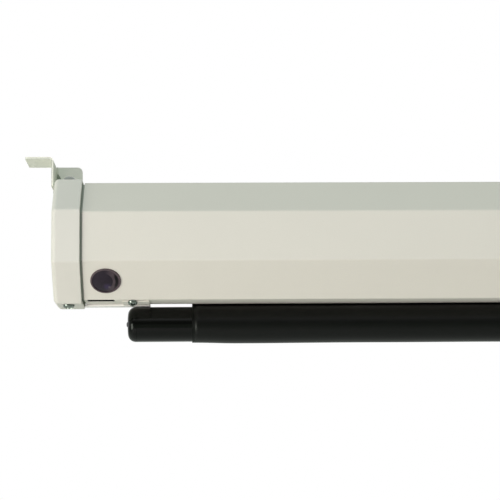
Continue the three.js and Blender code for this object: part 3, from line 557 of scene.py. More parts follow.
def drawn(w, given):
    """Drawn or plated metal: fine lines along one direction, soft blotches and uneven gloss."""
    place = w.place()
    lines = w.noise(w.vector("MULTIPLY", place, given["Line Stretch"]), 1.0, 3.0)
    swing = w.swing(lines)
    stain = w.times(w.swing(w.noise(place, 900.0, 2.0)), given["Blotch"])
    return w.math("ADD", w.plus_times(swing, 0.25, 1.0), stain), swing, 0.3, lines


FINISHES = {
    "powder_coat": (coat, {"Fleck Size": "Float", "Fleck Strength": "Float"}),
    "moulded_grain": (grain, {"Grain Size": "Float"}),
    "drawn_metal": (drawn, {"Line Stretch": "Vector", "Blotch": "Float"}),
}


def new_group(name, inputs, outputs):
    """An empty shader group with named sockets: its wiring, what it is given and its output node."""
    tree = bpy.data.node_groups.new(name, "ShaderNodeTree")
    for way, sockets in (("INPUT", inputs), ("OUTPUT", outputs)):
        for socket, kind in sockets.items():
            tree.interface.new_socket(socket, in_out=way, socket_type="NodeSocket" + kind)
    w = Wiring(tree)
    return w, w.add("NodeGroupInput").outputs, w.add("NodeGroupOutput")


def finish_group(name):
    """A finish's group. Its pattern gives a brightness for the colour, a swing in the roughness, which is one minus
    the gloss, and a height."""
    pattern, more = FINISHES[name]
    inputs = {"Colour": "Color", "Gloss": "Float", **more}
    w, given, out = new_group(name, inputs, {"Colour": "Color", "Roughness": "Float", "Height": "Float"})
    bright, swing, uneven, height = pattern(w, given)
    rough = w.plus_times(swing, uneven, w.math("SUBTRACT", 1.0, given["Gloss"]))
    w.join(out, {"Colour": w.scaled(given["Colour"], bright), "Roughness": rough, "Height": height})
    return w.tree


def weave_group(name):
    """Plain weave on the cloth's own map, in metres: warp and weft threads as two waves whose product changes
    sign from crossing to crossing, with a little unevenness from thread to thread."""
    w, given, out = new_group(name, {"Map": "Vector", "Thread": "Float"}, {"Shade": "Float", "Height": "Float"})
    parts = w.add("ShaderNodeSeparateXYZ", {0: given["Map"]}).outputs
    rate = w.math("DIVIDE", math.pi, given["Thread"])
    across, down = (w.math("SINE", w.times(part, rate)) for part in parts[:2])
    uneven = w.noise(given["Map"], 240.0, 3.0)
    height = w.plus_times(uneven, 0.5, w.times(w.times(across, down), 0.5))
    w.join(out, {"Height": height, "Shade": w.plus_times(height, 0.06, 0.96)})
    return w.tree


# Brightness of each mark on the window, in red, green and blue, as a multiple of the tint
WINDOW_TONES = {
    "patch": (2.2, 2.2, 3.6),
    "crescent": (3.6, 4.0, 2.8),
    "dark": (0.2, 0.15, 0.15),
    "edge": (5.1, 5.78, 3.74),
    # painted highlight: a small bright spot that stands in for a glint on the dome
    "painted_glint": (7.0, 9.0, 6.0),
}
# Marks on the window: (across, up) of the middle, and the distances from it where the mark starts and is full
WINDOW_MARKS = {
    "patch": ((0.12, -0.4), 0.4, 0.05),
    "crescent": ((-0.16, 0.02), 0.6, 0.68),
    "dark": ((-0.1, 0.0), 0.72, 0.77),
    "dark_end": ((0.0, 0.0), 0.86, 0.8),
    "edge": ((0.0, 0.0), 0.86, 0.93),
    # painted highlight's place and size
    "painted_glint": ((0.24, -0.43), 0.13, 0.0),
}


def new_material(name, **plain):
    """A material with a Principled shader whose plain values are set on its own sockets."""
    made = bpy.data.materials.new(name)
    made.use_nodes = True
    made.node_tree.nodes.clear()
    w = Wiring(made.node_tree)
    shader = w.add("ShaderNodeBsdfPrincipled", {socket.replace("_", " "): value for socket, value in plain.items()})
    w.add("ShaderNodeOutputMaterial", {"Surface": shader.outputs[0]})
    return made, w, shader


def from_group(w, name, maker, inputs):
    """The outputs of a shared group with these inputs. The group is made at its first use."""
    tree = bpy.data.node_groups.get(name) or maker(name)
    return w.add("ShaderNodeGroup", inputs, node_tree=tree).outputs


def grouped_finish(name, group, bump, depth, values, **plain):
    """A material whose colour, roughness and bump come from a shared group with its own values."""
    made, w, shader = new_material(name, **plain)
    finish = from_group(w, group, finish_group, values)
    raised = w.bump(bump, depth, finish["Height"])
    w.join(shader, {"Base Color": finish["Colour"], "Roughness": finish["Roughness"], "Normal": raised})
    return made


def rgba(three):
    """A colour setting with full opacity."""
    return (*three, 1.0)


def powder_coat(name, paint, gloss=0.42, strength=0.05):
    """Painted metal, with the powder coat's flecks and its orange peel."""
    values = {"Colour": rgba(paint), "Gloss": gloss, "Fleck Size": 0.5 * MM, "Fleck Strength": strength}
    return grouped_finish(name, "powder_coat", 0.25, 0.05 * MM, values, Specular_IOR_Level=0.35)


def moulded(name, plastic, gloss=0.5, grain=0.35 * MM, specular=0.4):
    """Moulded plastic, with its etched grain."""
    values = {"Colour": rgba(plastic), "Gloss": gloss, "Grain Size": grain}
    return grouped_finish(name, "moulded_grain", 0.15, 0.03 * MM, values, Specular_IOR_Level=specular)


def metal(name, tone, gloss=0.7, lines=(40.0, 2500.0, 2500.0)):
    """Bare or plated metal. Its lines are drawn out along X, where their rate is lowest."""
    values = {"Colour": rgba(tone), "Gloss": gloss, "Line Stretch": lines, "Blotch": 0.12}
    return grouped_finish(name, "drawn_metal", 0.1, 0.02 * MM, values, Metallic=1.0)


def window_material(name, tint):
    """Filter plastic: dark purple over a deeper bowl. The bowl's rim shows through as a lighter crescent and a dark
    one on the inner side, and the window's own edge is paler. A small bright spot is a painted highlight, standing
    in for a glint on the dome. All of them go by distance from a centre, in window radii, in the window's own plane."""
    made, w, shader = new_material(name, Roughness=0.14, Specular_IOR_Level=0.25)
    place = w.place()
    seat, _ = window_place()
    offset = w.vector("SUBTRACT", place, tuple(seat))

    def step(value, start, end):
        return w.ranged(value, start, end, curve="SMOOTHSTEP")

    def mark(name):
        (u, v), start, end = WINDOW_MARKS[name]
        spot = w.add("ShaderNodeCombineXYZ", {0: w.math("SUBTRACT", side, u), 1: w.math("SUBTRACT", rise, v)})
        return step(w.vector("LENGTH", spot.outputs[0]), start, end)

    slope = 1 / WINDOW_RADIUS / math.sqrt(2)
    side, rise = (w.vector("DOT_PRODUCT", offset, way) for way in ((1 / WINDOW_RADIUS, 0, 0), (0, -slope, slope)))
    masks = {
        "patch": w.times(mark("patch"), 0.6),
        "crescent": w.times(mark("crescent"), step(side, -0.1, 0.5)),
        "dark": w.times(w.times(mark("dark"), mark("dark_end")), step(side, 0.5, 0.66)),
        "edge": mark("edge"),
        # painted highlight standing in for a glint on the dome
        "painted_glint": w.times(mark("painted_glint"), 0.6),
    }
    body = rgba(tint)
    for tone, mask in masks.items():
        body = w.mixed(mask, body, rgba(min(1.0, c * s) for c, s in zip(tint, WINDOW_TONES[tone])))
    drift = w.noise(place, 420.0, 3.0)
    uneven = w.plus_times(drift, 0.5, 0.75)
    w.join(shader, {"Base Color": w.scaled(body, uneven), "Normal": w.bump(0.06, 0.1 * MM, drift)})
    return made


def woven(name, cloth, look, **plain):
    """A cloth with its weave. The look takes the wiring and the cloth's own map, and gives colour and roughness."""
    made, w, shader = new_material(name, **plain)
    chart = w.add("ShaderNodeUVMap", uv_map="cloth").outputs[0]
    weave = from_group(w, "plain_weave", weave_group, {"Map": chart, "Thread": cloth.thread})
    tone, rough = look(w, chart)
    raised = w.bump(0.2, 0.05 * MM, weave["Height"])
    w.join(shader, {"Base Color": w.scaled(tone, weave["Shade"]), "Roughness": rough, "Normal": raised})
    return made


def black_cloth(name, cloth, specular, rough):
    """Black cloth, with a slow drift in its roughness."""

    def look(w, chart):
        return tuple(cloth.black), w.plus_times(w.noise(chart, 30.0, 2.0), 0.16, rough - 0.08)

    return woven(name, cloth, look, Specular_IOR_Level=specular)


def screen_material(cloth):
    """The front of the cloth: a white picture area inside black borders, by place on the cloth's own map."""

    def look(w, chart):
        across, height, _ = w.add("ShaderNodeSeparateXYZ", {0: chart}).outputs
        between = w.math("LESS_THAN", w.math("ABSOLUTE", across), DROP_HIGH[0] - cloth.side_border)
        above = w.math("GREATER_THAN", height, cloth.foot_border)
        below = w.math("LESS_THAN", height, cloth.foot_border + cloth.picture)
        picture = w.times(between, w.times(above, below))
        return w.mixed(picture, rgba(cloth.black), rgba(cloth.white)), w.plus_times(picture, 0.2, 0.62)

    return woven("screen_cloth", cloth, look, Specular_IOR_Level=0.15, Sheen_Weight=0.05, Sheen_Roughness=0.5)


def shared(name, make, *values, **more):
    """This screen's own material of that name, made at its first use."""
    own = "screen_" + name
    return bpy.data.materials.get(own) or make(own, *values, **more)


def screw_metal():
    """Zinc plating, mottled evenly in every direction."""
    return shared("zinc_plate", metal, bpy.context.scene.screen_screws.zinc, gloss=0.86, lines=(900.0,) * 3)


class SCREEN_OT_case(bpy.types.Operator):
    """Build the folded case with its slot, sockets' openings and window hole."""

    bl_idname = "screen.case"
    bl_label = "Case"

    def execute(self, context):
        case = context.scene.screen_case
        inner = CASE_APOTHEM - case.sheet
        (low, high), outer = (CASE_LOW[0], CASE_HIGH[0]), CASE_APOTHEM
        section = ((low, inner), (low, outer), (high, outer), (high, inner), (low, inner))
        skin = loft([octagon_ring(x, apothem, case.bend - (outer - apothem)) for x, apothem in section])
        paint = shared("case_paint", powder_coat, case.paint)
        add_piece("case_skin", skin, paint, "case", "case_shell", self.cutters(case))
        return {"FINISHED"}

    def cutters(self, case):
        """What is cut out of the case, each sized by what comes through it."""
        jack_gap, inlet_rim, neck_hole, neck_cut, screw_hole = 0.1 * MM, 2.6 * MM, 7.8 * MM, 8 * MM, 1.8 * MM
        low, low_top = CASE_LOW[2] - CUT_OUTSIDE, CASE_LOW[2] + CUT_INSIDE
        slot_x = CASE_HIGH[0] - case.slot_end
        rear = AXIS_Y + CASE_APOTHEM * math.tan(HALF_SIDE) + case.slot_past
        inlet_low, inlet_high = node_box("power_inlet")
        inlet_low = (*(inlet_low[:2] + inlet_rim), CASE_HIGH[2] - CUT_INSIDE)
        inlet_high = (*(inlet_high[:2] - inlet_rim), CASE_HIGH[2] + CUT_OUTSIDE)
        window, outward = window_place()
        made = [
            block((-slot_x, SLOT_PLANE - case.slot_lead, low), (slot_x, rear, low_top)),
            block((*(JACK_MOUTH_LOW - jack_gap), low), (*(JACK_MOUTH_HIGH + jack_gap), low_top)),
            block(inlet_low, inlet_high),
            drill_bit(window - outward * neck_cut / 2, outward, neck_hole, neck_cut),
        ]
        deep = CUT_OUTSIDE + CUT_INSIDE
        for side, _ in ENDS:
            cover = node_middle(side + "_cover_screw")
            made.append(drill_bit((cover[0], cover[1], low), (0, 0, 1), TAB_HOLE, deep))
            for place in ("top", "bottom"):
                screw = node_middle(f"{side}_case_screw_{place}")
                made.append(drill_bit((screw[0], CASE_HIGH[1] - CUT_INSIDE, screw[2]), (0, 1, 0), screw_hole, deep))
        return made


class SCREEN_OT_caps(bpy.types.Operator):
    """Build the two moulded end caps."""

    bl_idname = "screen.caps"
    bl_label = "End caps"

    def execute(self, context):
        caps = context.scene.screen_caps
        plastic = shared("cap_plastic", moulded, caps.plastic, gloss=0.45, grain=0.5 * MM)
        for side, way in ENDS:
            near, far = span(side + "_end_cap", way)
            rings = [
                octagon_ring(way * (far - inward), CAP_APOTHEM - inset, caps.facet - inset)
                for inward, inset in self.profile(caps, far - near)
            ]
            cutters = self.cutters(side, way, far)
            add_piece(side + "_cap_skin", loft(rings), plastic, "case", side + "_end_cap", cutters)
        return {"FINISHED"}

    def profile(self, caps, depth):
        """(distance in from the outer face, inset from the flats): the face, its rounding, the side, the bevelled
        rim, and back inside to the floor."""
        turn = np.radians(np.linspace(0, 90, 9))
        rounding = np.column_stack([caps.edge * (1 - np.cos(turn)), caps.edge * (1 - np.sin(turn))])
        ease = 0.2 * MM
        return [
            (0, CAP_APOTHEM), *rounding,
            (depth - caps.rim, 0), (depth - caps.rim * 0.3, caps.rim * 0.3), (depth, caps.rim),
            (depth, caps.wall - ease), (depth - ease, caps.wall), (caps.floor, caps.wall), (caps.floor, CAP_APOTHEM),
        ]

    def cutters(self, side, way, far):
        """Holes for the two cap screws and the hanger stud."""
        screw_hole, screw_cut, stud_hole, stud_cut, clear = 2.2 * MM, 12 * MM, 2.7 * MM, 10 * MM, 3 * MM
        x, y, _ = node_middle(side + "_cap_screw_top")
        stud = node_middle(side + "_hanger_stud")
        reach = CAP_APOTHEM - screw_cut / 2
        made = [drill_bit((x, y, AXIS_Z + up * reach), (0, 0, up), screw_hole, screw_cut) for up in (1, -1)]
        made.append(drill_bit((way * (far + clear), stud[1], stud[2]), (-way, 0, 0), stud_hole, stud_cut))
        return made


class SCREEN_OT_brackets(bpy.types.Operator):
    """Build the folded brackets with their gussets, and the hanger studs."""

    bl_idname = "screen.brackets"
    bl_label = "Brackets"

    def execute(self, context):
        bracket = context.scene.screen_brackets
        paint = shared("bracket_paint", powder_coat, bracket.paint, gloss=0.4)
        # The gusset's material is painted shade: darker paint that stands in for the shade in the corner.
        thin = shared("bracket_thin_paint", powder_coat, bracket.thin, gloss=0.3, strength=0.12)
        for side, way in ENDS:
            p = self.places(bracket, side, way)
            sheet = with_wall(*self.folded(bracket, side, way, p), bracket.sheet, 0.35 * MM)
            add_piece(side + "_bracket_sheet", sheet, paint, "case", side + "_mount_bracket")
            add_piece(side + "_bracket_gusset", self.gusset(bracket, way, p), thin, "case")
            stud = self.stud(bracket, side, way)
            add_piece(side + "_stud", stud, screw_metal(), "case", side + "_hanger_stud")
        return {"FINISHED"}

    def places(self, bracket, side, way):
        """The planes that the bracket's sheet lies in, measured at the middle of the sheet, with x outward."""
        low, high = node_box(side + "_mount_bracket")
        near, far = span(side + "_mount_bracket", way)
        half = bracket.sheet / 2
        leg = span(side + "_end_cap", way)[1] + bracket.gap + half
        back, top = high[1] - half, high[2] - half
        return {"leg": leg, "far": far, "near": near, "front": low[1], "back": back, "top": top, "bottom": low[2]}

    def folded(self, bracket, side, way, p):
        """The blank lies in the leg's plane as (y, z). Past the upper fold line it turns outward about the fold to
        become the flange. Past the rear fold line it turns inward to become the wall plate. Each fold follows an
        arc as long as the blank's strip there."""
        radius = bracket.bend
        quarter = radius * math.pi / 2
        fold_z = p["top"] - radius
        fold_y = p["back"] - radius
        flange_end = fold_z + quarter + (p["far"] - p["leg"] - radius)
        plate_end = fold_y + quarter + (p["leg"] - p["near"] - radius)
        outline, holes = self.blank(bracket, side, p, fold_y, fold_z, flange_end, plate_end)
        turns, past, into_slit, below = np.linspace(0, quarter, 7), 5 * MM, 0.15 * MM, 0.4 * MM
        folds = [((p["front"] - past, fold_z + t), (fold_y + into_slit, fold_z + t)) for t in turns]
        folds += [((fold_y + t, p["bottom"] - past), (fold_y + t, p["top"] + past)) for t in turns[1:]]
        folds.append(((fold_y, p["bottom"] - past), (fold_y, fold_z - below)))
        flat, faces = flat_blank(outline, holes, folds)
        y, z = flat[:, 0], flat[:, 1]
        past_back = np.maximum(y - fold_y, 0)
        past_top = np.where(past_back > 1e-7, 0, np.maximum(z - fold_z, 0))
        up_turn = np.minimum(past_top, quarter) / radius
        back_turn = np.minimum(past_back, quarter) / radius
        out = p["leg"] + radius * (1 - np.cos(up_turn)) + np.maximum(past_top - quarter, 0)
        out -= radius * (1 - np.cos(back_turn)) + np.maximum(past_back - quarter, 0)
        depth = np.where(past_back > 0, fold_y + radius * np.sin(back_turn), y)
        height = np.where(past_top > 0, fold_z + radius * np.sin(up_turn), z)
        points = np.column_stack([way * out, depth, height])
        face_out = np.cos(up_turn) * np.cos(back_turn)
        normals = np.column_stack([way * face_out, np.sin(back_turn), -np.sin(up_turn)])
        if way > 0:
            faces = faces[:, ::-1]
        return points, normals, faces

    def blank(self, bracket, side, p, fold_y, fold_z, flange_end, plate_end):
        """The blank's outline and holes before it is folded. A slit parts the flange from the wall plate, and a tail
        under the leg holds the hook slot."""
        under = p["top"] - bracket.sheet / 2
        corner, slit, small, large, tail = bracket.corner, 0.3 * MM, 1.2 * MM, 2.4 * MM, 8 * MM
        stud_y, stud_z = node_middle(side + "_hanger_stud")[1:]
        tail_front, tail_bottom, leg_bottom = stud_y - tail, AXIS_Z - tail, AXIS_Z + CAP_APOTHEM
        relief = fold_z - 0.5 * MM
        turn_y = fold_y + bracket.bend * math.pi / 2
        slot = bracket.hook_half
        slot_z = stud_z + bracket.hook_rise
        outline = [
            arc((p["front"] + small, leg_bottom + small), small, 270, 180, 4),
            arc((p["front"] + corner / 2, flange_end - corner / 2), corner / 2, 180, 90, 5),
            arc((fold_y - corner / 2, flange_end - corner / 2), corner / 2, 90, 0, 5),
            [(fold_y, relief), (fold_y + slit, relief), (fold_y + slit, under)],
            arc((plate_end - corner, under - corner), corner, 90, 0, 6),
            arc((plate_end - corner, p["bottom"] + corner), corner, 0, -90, 6),
            [(turn_y, p["bottom"]), (turn_y, tail_bottom)],
            arc((tail_front + large, tail_bottom + large), large, 270, 180, 5),
            [(tail_front, slot_z - slot), (stud_y - slot, slot_z - slot), (stud_y - slot, stud_z)],
            arc((stud_y, stud_z), slot, 180, 360, 12)[1:],
            arc((stud_y, slot_z), slot, 0, 90, 6),
            [(tail_front, slot_z + slot), (tail_front, leg_bottom)],
        ]
        middle = plate_end - (p["leg"] - p["near"]) / 2
        rises = (bracket.wall_rise, -bracket.wall_rise)
        holes = [arc((middle, AXIS_Z + rise), bracket.wall_hole, 0, 360, 32)[:-1] for rise in rises]
        return np.concatenate(outline), holes

    def gusset(self, bracket, way, p):
        """A pressed web across the corner: a ramp whose reach from the corner grows evenly from nothing at its
        top to full at its foot, as wide as it is deep. It is tucked a little way into the sheet."""
        count, tuck, half = 9, 0.2 * MM, bracket.sheet / 2
        inner, front, top = p["leg"] - half, p["back"] - half, p["top"] - half - bracket.gusset_drop
        steps = np.linspace(0, 1, count)
        down, slant = np.meshgrid(steps, steps, indexing="ij")
        reach = bracket.gusset * down
        z = top - bracket.gusset_height * down
        ramp = np.stack([way * (inner - reach * slant + tuck), front - reach * (1 - slant) + tuck, z], axis=-1)
        corner = np.column_stack([np.full(count, way * (inner + tuck)), np.full(count, front + tuck), z[:, 0]])
        rings = np.concatenate([ramp, corner[:, None]], axis=1)
        points = np.concatenate([rings.reshape(-1, 3), rings[-1].mean(axis=0)[None]])
        foot = np.arange(count * count - 1, count * (count + 1))
        fan = np.column_stack([foot, np.roll(foot, -1), np.full(len(foot), len(points) - 1)])
        return points, grid_faces(count, count + 1, wrap=True), fan

    def stud(self, bracket, side, way):
        """A hanger stud turned from bar: neck, shoulder against the cap, and a domed head outside the leg."""
        near, far = span(side + "_hanger_stud", way)
        _, middle_y, middle_z = node_middle(side + "_hanger_stud")
        length = far - near
        head, shoulder, shank, ease, gap = 4 * MM, 6 * MM, 2.5 * MM, 0.3 * MM, 0.4 * MM
        seat = length - 1 * MM
        leg_in = seat - bracket.sheet - gap
        cap_out = leg_in - bracket.gap + gap
        dome = ((0.96, 0.45), (0.86, 0.24), (0.7, 0.1), (0.4, 0.0))
        profile = [
            (0, 0), (shank - ease, 0), (shank, ease), (shank, cap_out), (shoulder - ease, cap_out),
            (shoulder, cap_out + ease), (shoulder, leg_in - ease), (shoulder - ease, leg_in), (shank, leg_in),
            (shank, seat), (head - ease, seat), (head, seat + ease),
            *((head * out, length - under * MM) for out, under in dome), (0, length),
        ]
        return turned(profile, (way * near, middle_y, middle_z), (way, 0, 0), 48)


class SCREEN_OT_covers(bpy.types.Operator):
    """Build the screwed plates over the ends of the slot and the strips between them and the caps, which are painted
    paler to stand in for the light from below that they catch.
    """

    bl_idname = "screen.covers"
    bl_label = "Slot covers"

    def execute(self, context):
        case = context.scene.screen_case
        paint = shared("case_paint", powder_coat, case.paint)
        # The strips' paler paint is painted light, standing in for the light that they catch from below.
        pale = shared("strip_paint", powder_coat, case.strip)
        ahead, cap_gap, tab_past, overlap = 1 * MM, 0.3 * MM, 7 * MM, 2 * MM
        for side, way in ENDS:
            low, high = node_box(side + "_slot_cover")
            screw = node_middle(side + "_cover_screw") - (0, context.scene.screen_screws.forward, 0)
            front = SLOT_PLANE - case.slot_lead - ahead
            inner = way * span(side + "_slot_cover", way)[0]
            outer = way * (span(side + "_end_cap", way)[0] - cap_gap)
            strip = self.plate(case, (outer, front), (inner, high[1]), high[2], high[2] - low[2])
            step = screw[0] + way * tab_past
            hole = arc((screw[0], screw[1]), TAB_HOLE, 0, 360, 32)[:-1]
            tab = self.plate(case, (step, low[1]), (inner, front + overlap), high[2], case.sheet, [hole])
            for name, finish, shape in (("plate", paint, tab), ("strip", pale, strip)):
                add_piece(f"{side}_slot_{name}", shape, finish, "case", side + "_slot_cover")
        return {"FINISHED"}

    def plate(self, case, first, last, top, wall, holes=()):
        """A level plate between two corners with its own corners rounded, its upper face at the given height."""
        outline = rounded_box(np.minimum(first, last), np.maximum(first, last), case.plate_corner)
        flat, faces = flat_blank(outline, holes)
        normals = np.tile([0.0, 0.0, 1.0], (len(flat), 1))
        places = np.column_stack([flat, np.full(len(flat), top - wall / 2)])
        return with_wall(places, normals, faces, wall, 0.25 * MM)


class SCREEN_OT_window(bpy.types.Operator):
    """Build the infrared window: a flat ring and a low dome inside a small step."""

    bl_idname = "screen.window"
    bl_label = "Infrared window"

    def execute(self, context):
        window = context.scene.screen_window
        seat, outward = window_place()
        rim, neck, proud, back, seated = WINDOW_RADIUS, 7.6 * MM, 0.9 * MM, -3.1 * MM, 0.1 * MM
        dome = rim - window.bezel
        swell = np.linspace(0, 1, 13)
        profile = [
            (0, back), (neck, back), (neck, seated), (rim, seated),
            (rim, proud * 0.6), (rim - proud * 0.15, proud * 0.88), (rim - proud * 0.4, proud),
            (dome + 0.25 * MM, proud), (dome + 0.05 * MM, proud * 0.9),
            *((dome * (1 - s), proud * 0.55 + window.dome * (1 - (1 - s) ** 2)) for s in swell),
        ]
        filter_plastic = shared("ir_filter", window_material, window.tint)
        add_piece("ir_window_lens", turned(profile, seat, outward, 96), filter_plastic, "case", "ir_window")
        return {"FINISHED"}


class SCREEN_OT_jack(bpy.types.Operator):
    """Build the control jack: a black body behind the sheet with a hollow mouth that fills the case's opening."""

    bl_idname = "screen.jack"
    bl_label = "Control jack"

    def execute(self, context):
        ease, wall = 0.2 * MM, 0.8 * MM
        mouth, deep = CASE_LOW[2] + 0.1 * MM, JACK_HIGH[2] - 2 * MM
        body = JACK_LOW[:2], JACK_HIGH[:2]
        lip = JACK_MOUTH_LOW, JACK_MOUTH_HIGH
        levels = (
            (body, None, JACK_HIGH[2]), (body, 0, JACK_HIGH[2]), (body, 0, JACK_LOW[2]),
            (lip, 0, JACK_LOW[2]), (lip, 0, mouth + ease), (lip, ease, mouth), (lip, wall - ease, mouth),
            (lip, wall, mouth + ease), (lip, wall, deep), (lip, None, deep),
        )
        socket = loft([self.ring(*box, inset, z) for box, inset, z in levels])
        plastic = shared("jack_plastic", moulded, context.scene.screen_inside.black, gloss=0.4, specular=0.08)
        add_piece("control_jack_socket", socket, plastic, "case", "control_jack")
        return {"FINISHED"}

    def ring(self, low, high, inset, z):
        """A rounded rectangle so far in from two corners, or its middle if no inset is given."""
        flat = rounded_box(low + (inset or 0), high - (inset or 0), 0.5 * MM)
        if inset is None:
            flat[:] = (low + high) / 2
        return np.column_stack([flat, np.full(len(flat), z)])


class SCREEN_OT_screws(bpy.types.Operator):
    """Build the pan-head screws at the caps, the case and the slot covers."""

    bl_idname = "screen.screws"
    bl_label = "Screws"

    def execute(self, context):
        screws = context.scene.screen_screws
        cap, case, cover = np.array([(4.0, 2.6, 2.0), (3.4, 1.8, 1.6), (3.2, 2.2, 1.7)]) * MM
        for side, _ in ENDS:
            for place, up in (("top", 1), ("bottom", -1)):
                self.screw(screws, f"{side}_cap_screw_{place}", (0, 0, up), cap)
                self.screw(screws, f"{side}_case_screw_{place}", (0, 1, 0), case)
            self.screw(screws, side + "_cover_screw", (0, 0, -1), cover, screws.lean, screws.forward)
        return {"FINISHED"}

    def screw(self, screws, node, facing, sizes, lean=0.0, forward=0.0):
        """The head's height over its seat falls from the middle to the rim as the fourth power of the radius. The
        cross recess takes its depth off within half its width of either arm, and stops at the arm's length. A
        leaning screw is turned about the X axis through its seat, and may stand in front of its solid. The sizes
        are the head's radius and height and the shank's radius."""
        radius, height, shank = sizes
        low, high = node_box(node)
        facing = np.array(facing, float)
        axis = int(np.argmax(np.abs(facing)))
        top = (low + high) / 2
        top[axis] = high[axis] if facing[axis] > 0 else low[axis]
        seat = top - facing * height
        rows, columns, first_arm = 30, 96, 0.5
        r, turn = np.meshgrid(np.linspace(0, 1, rows) ** 0.8, np.arange(columns) * 2 * math.pi / columns, indexing="ij")
        u, v = np.abs(r * np.cos(turn)), np.abs(r * np.sin(turn))
        half = screws.recess_width / 2
        beside = smooth_step((half - np.minimum(u, v)) / (half * 0.35) + 1)
        along = smooth_step((screws.recess_length - np.maximum(u, v)) / 0.08 + 1)
        rise = 0.3 + 0.7 * (1 - r**4) - screws.recess_depth * beside * along
        length = high[axis] - low[axis] - height
        ring = [(1.0, 0.0), (shank / radius, 0.0), (shank / radius, -length), (0.0, -length)]
        across = np.roll(np.eye(3)[axis], 1)
        spin = turn[0] + first_arm
        spokes = np.cos(spin)[:, None] * across + np.sin(spin)[:, None] * np.cross(facing, across)
        head = seat + r[..., None] * radius * spokes[None] + (rise * height)[..., None] * facing
        under = np.stack([seat + share * radius * spokes + down * facing for share, down in ring])
        points = np.concatenate([head, under]).reshape(-1, 3) - seat
        cos, sin = math.cos(lean), math.sin(lean)
        points = points @ np.array([[1, 0, 0], [0, cos, -sin], [0, sin, cos]]) + seat - (0, forward, 0)
        shape = points, grid_faces(rows + len(ring), columns, wrap=True)
        add_piece(node + "_head", shape, screw_metal(), "case", node)


class SCREEN_OT_bar(bpy.types.Operator):
    """Build the weighted bar and its rounded plugs."""

    bl_idname = "screen.bar"
    bl_label = "Bottom bar"

    def execute(self, context):
        bar = context.scene.screen_bar
        satin = {"gloss": 0.88, "grain": 0.3 * MM, "specular": 0.22}
        ease = 0.15 * MM
        plastic = shared("bar_plastic", moulded, bar.plastic, **satin)
        middle = (0.0, *BAR_MIDDLE[1:])
        for side, way in ENDS:
            plug = turned(self.plug(bar, span(side + "_bar_cap", way)[1], ease), middle, (way, 0, 0), 96)
            add_piece(side + "_bar_plug", plug, plastic, "bottom_bar", side + "_bar_cap")
        low, high, outer, inner = BAR_LOW[0], BAR_HIGH[0], BAR_RADIUS, BAR_RADIUS - bar.wall
        wall = [
            (inner, low), (outer - ease, low), (outer, low + ease),
            (outer, high - ease), (outer - ease, high), (inner, high), (inner, low),
        ]
        tube, paint = turned(wall, middle, (1, 0, 0), 96), shared("bar_paint", moulded, bar.paint, **satin)
        add_piece("bar_tube", tube, paint, "bottom_bar", "weight_bar")
        return {"FINISHED"}

    def plug(self, bar, outer, ease):
        """(radius, distance out): the pip, the face, its rounding, the lip on the tube's end, and the stem inside
        the tube."""
        proud, lip, long = 1 * MM, 0.6 * MM, 14 * MM
        face = outer - proud
        seat = face - bar.round_end - lip - ease
        stem = BAR_RADIUS - bar.wall - 0.2 * MM
        turn = np.radians(np.linspace(90, 0, 11))
        rounding = [BAR_RADIUS - bar.round_end * (1 - np.cos(turn)), face - bar.round_end * (1 - np.sin(turn))]
        return [
            (0, outer), (bar.pip * 0.6, outer - 0.08 * MM), (bar.pip, outer - 0.5 * MM), (bar.pip * 1.15, face),
            *np.column_stack(rounding),
            (BAR_RADIUS, seat + ease), (BAR_RADIUS - ease, seat), (stem, seat), (stem, seat - long), (0, seat - long),
        ]


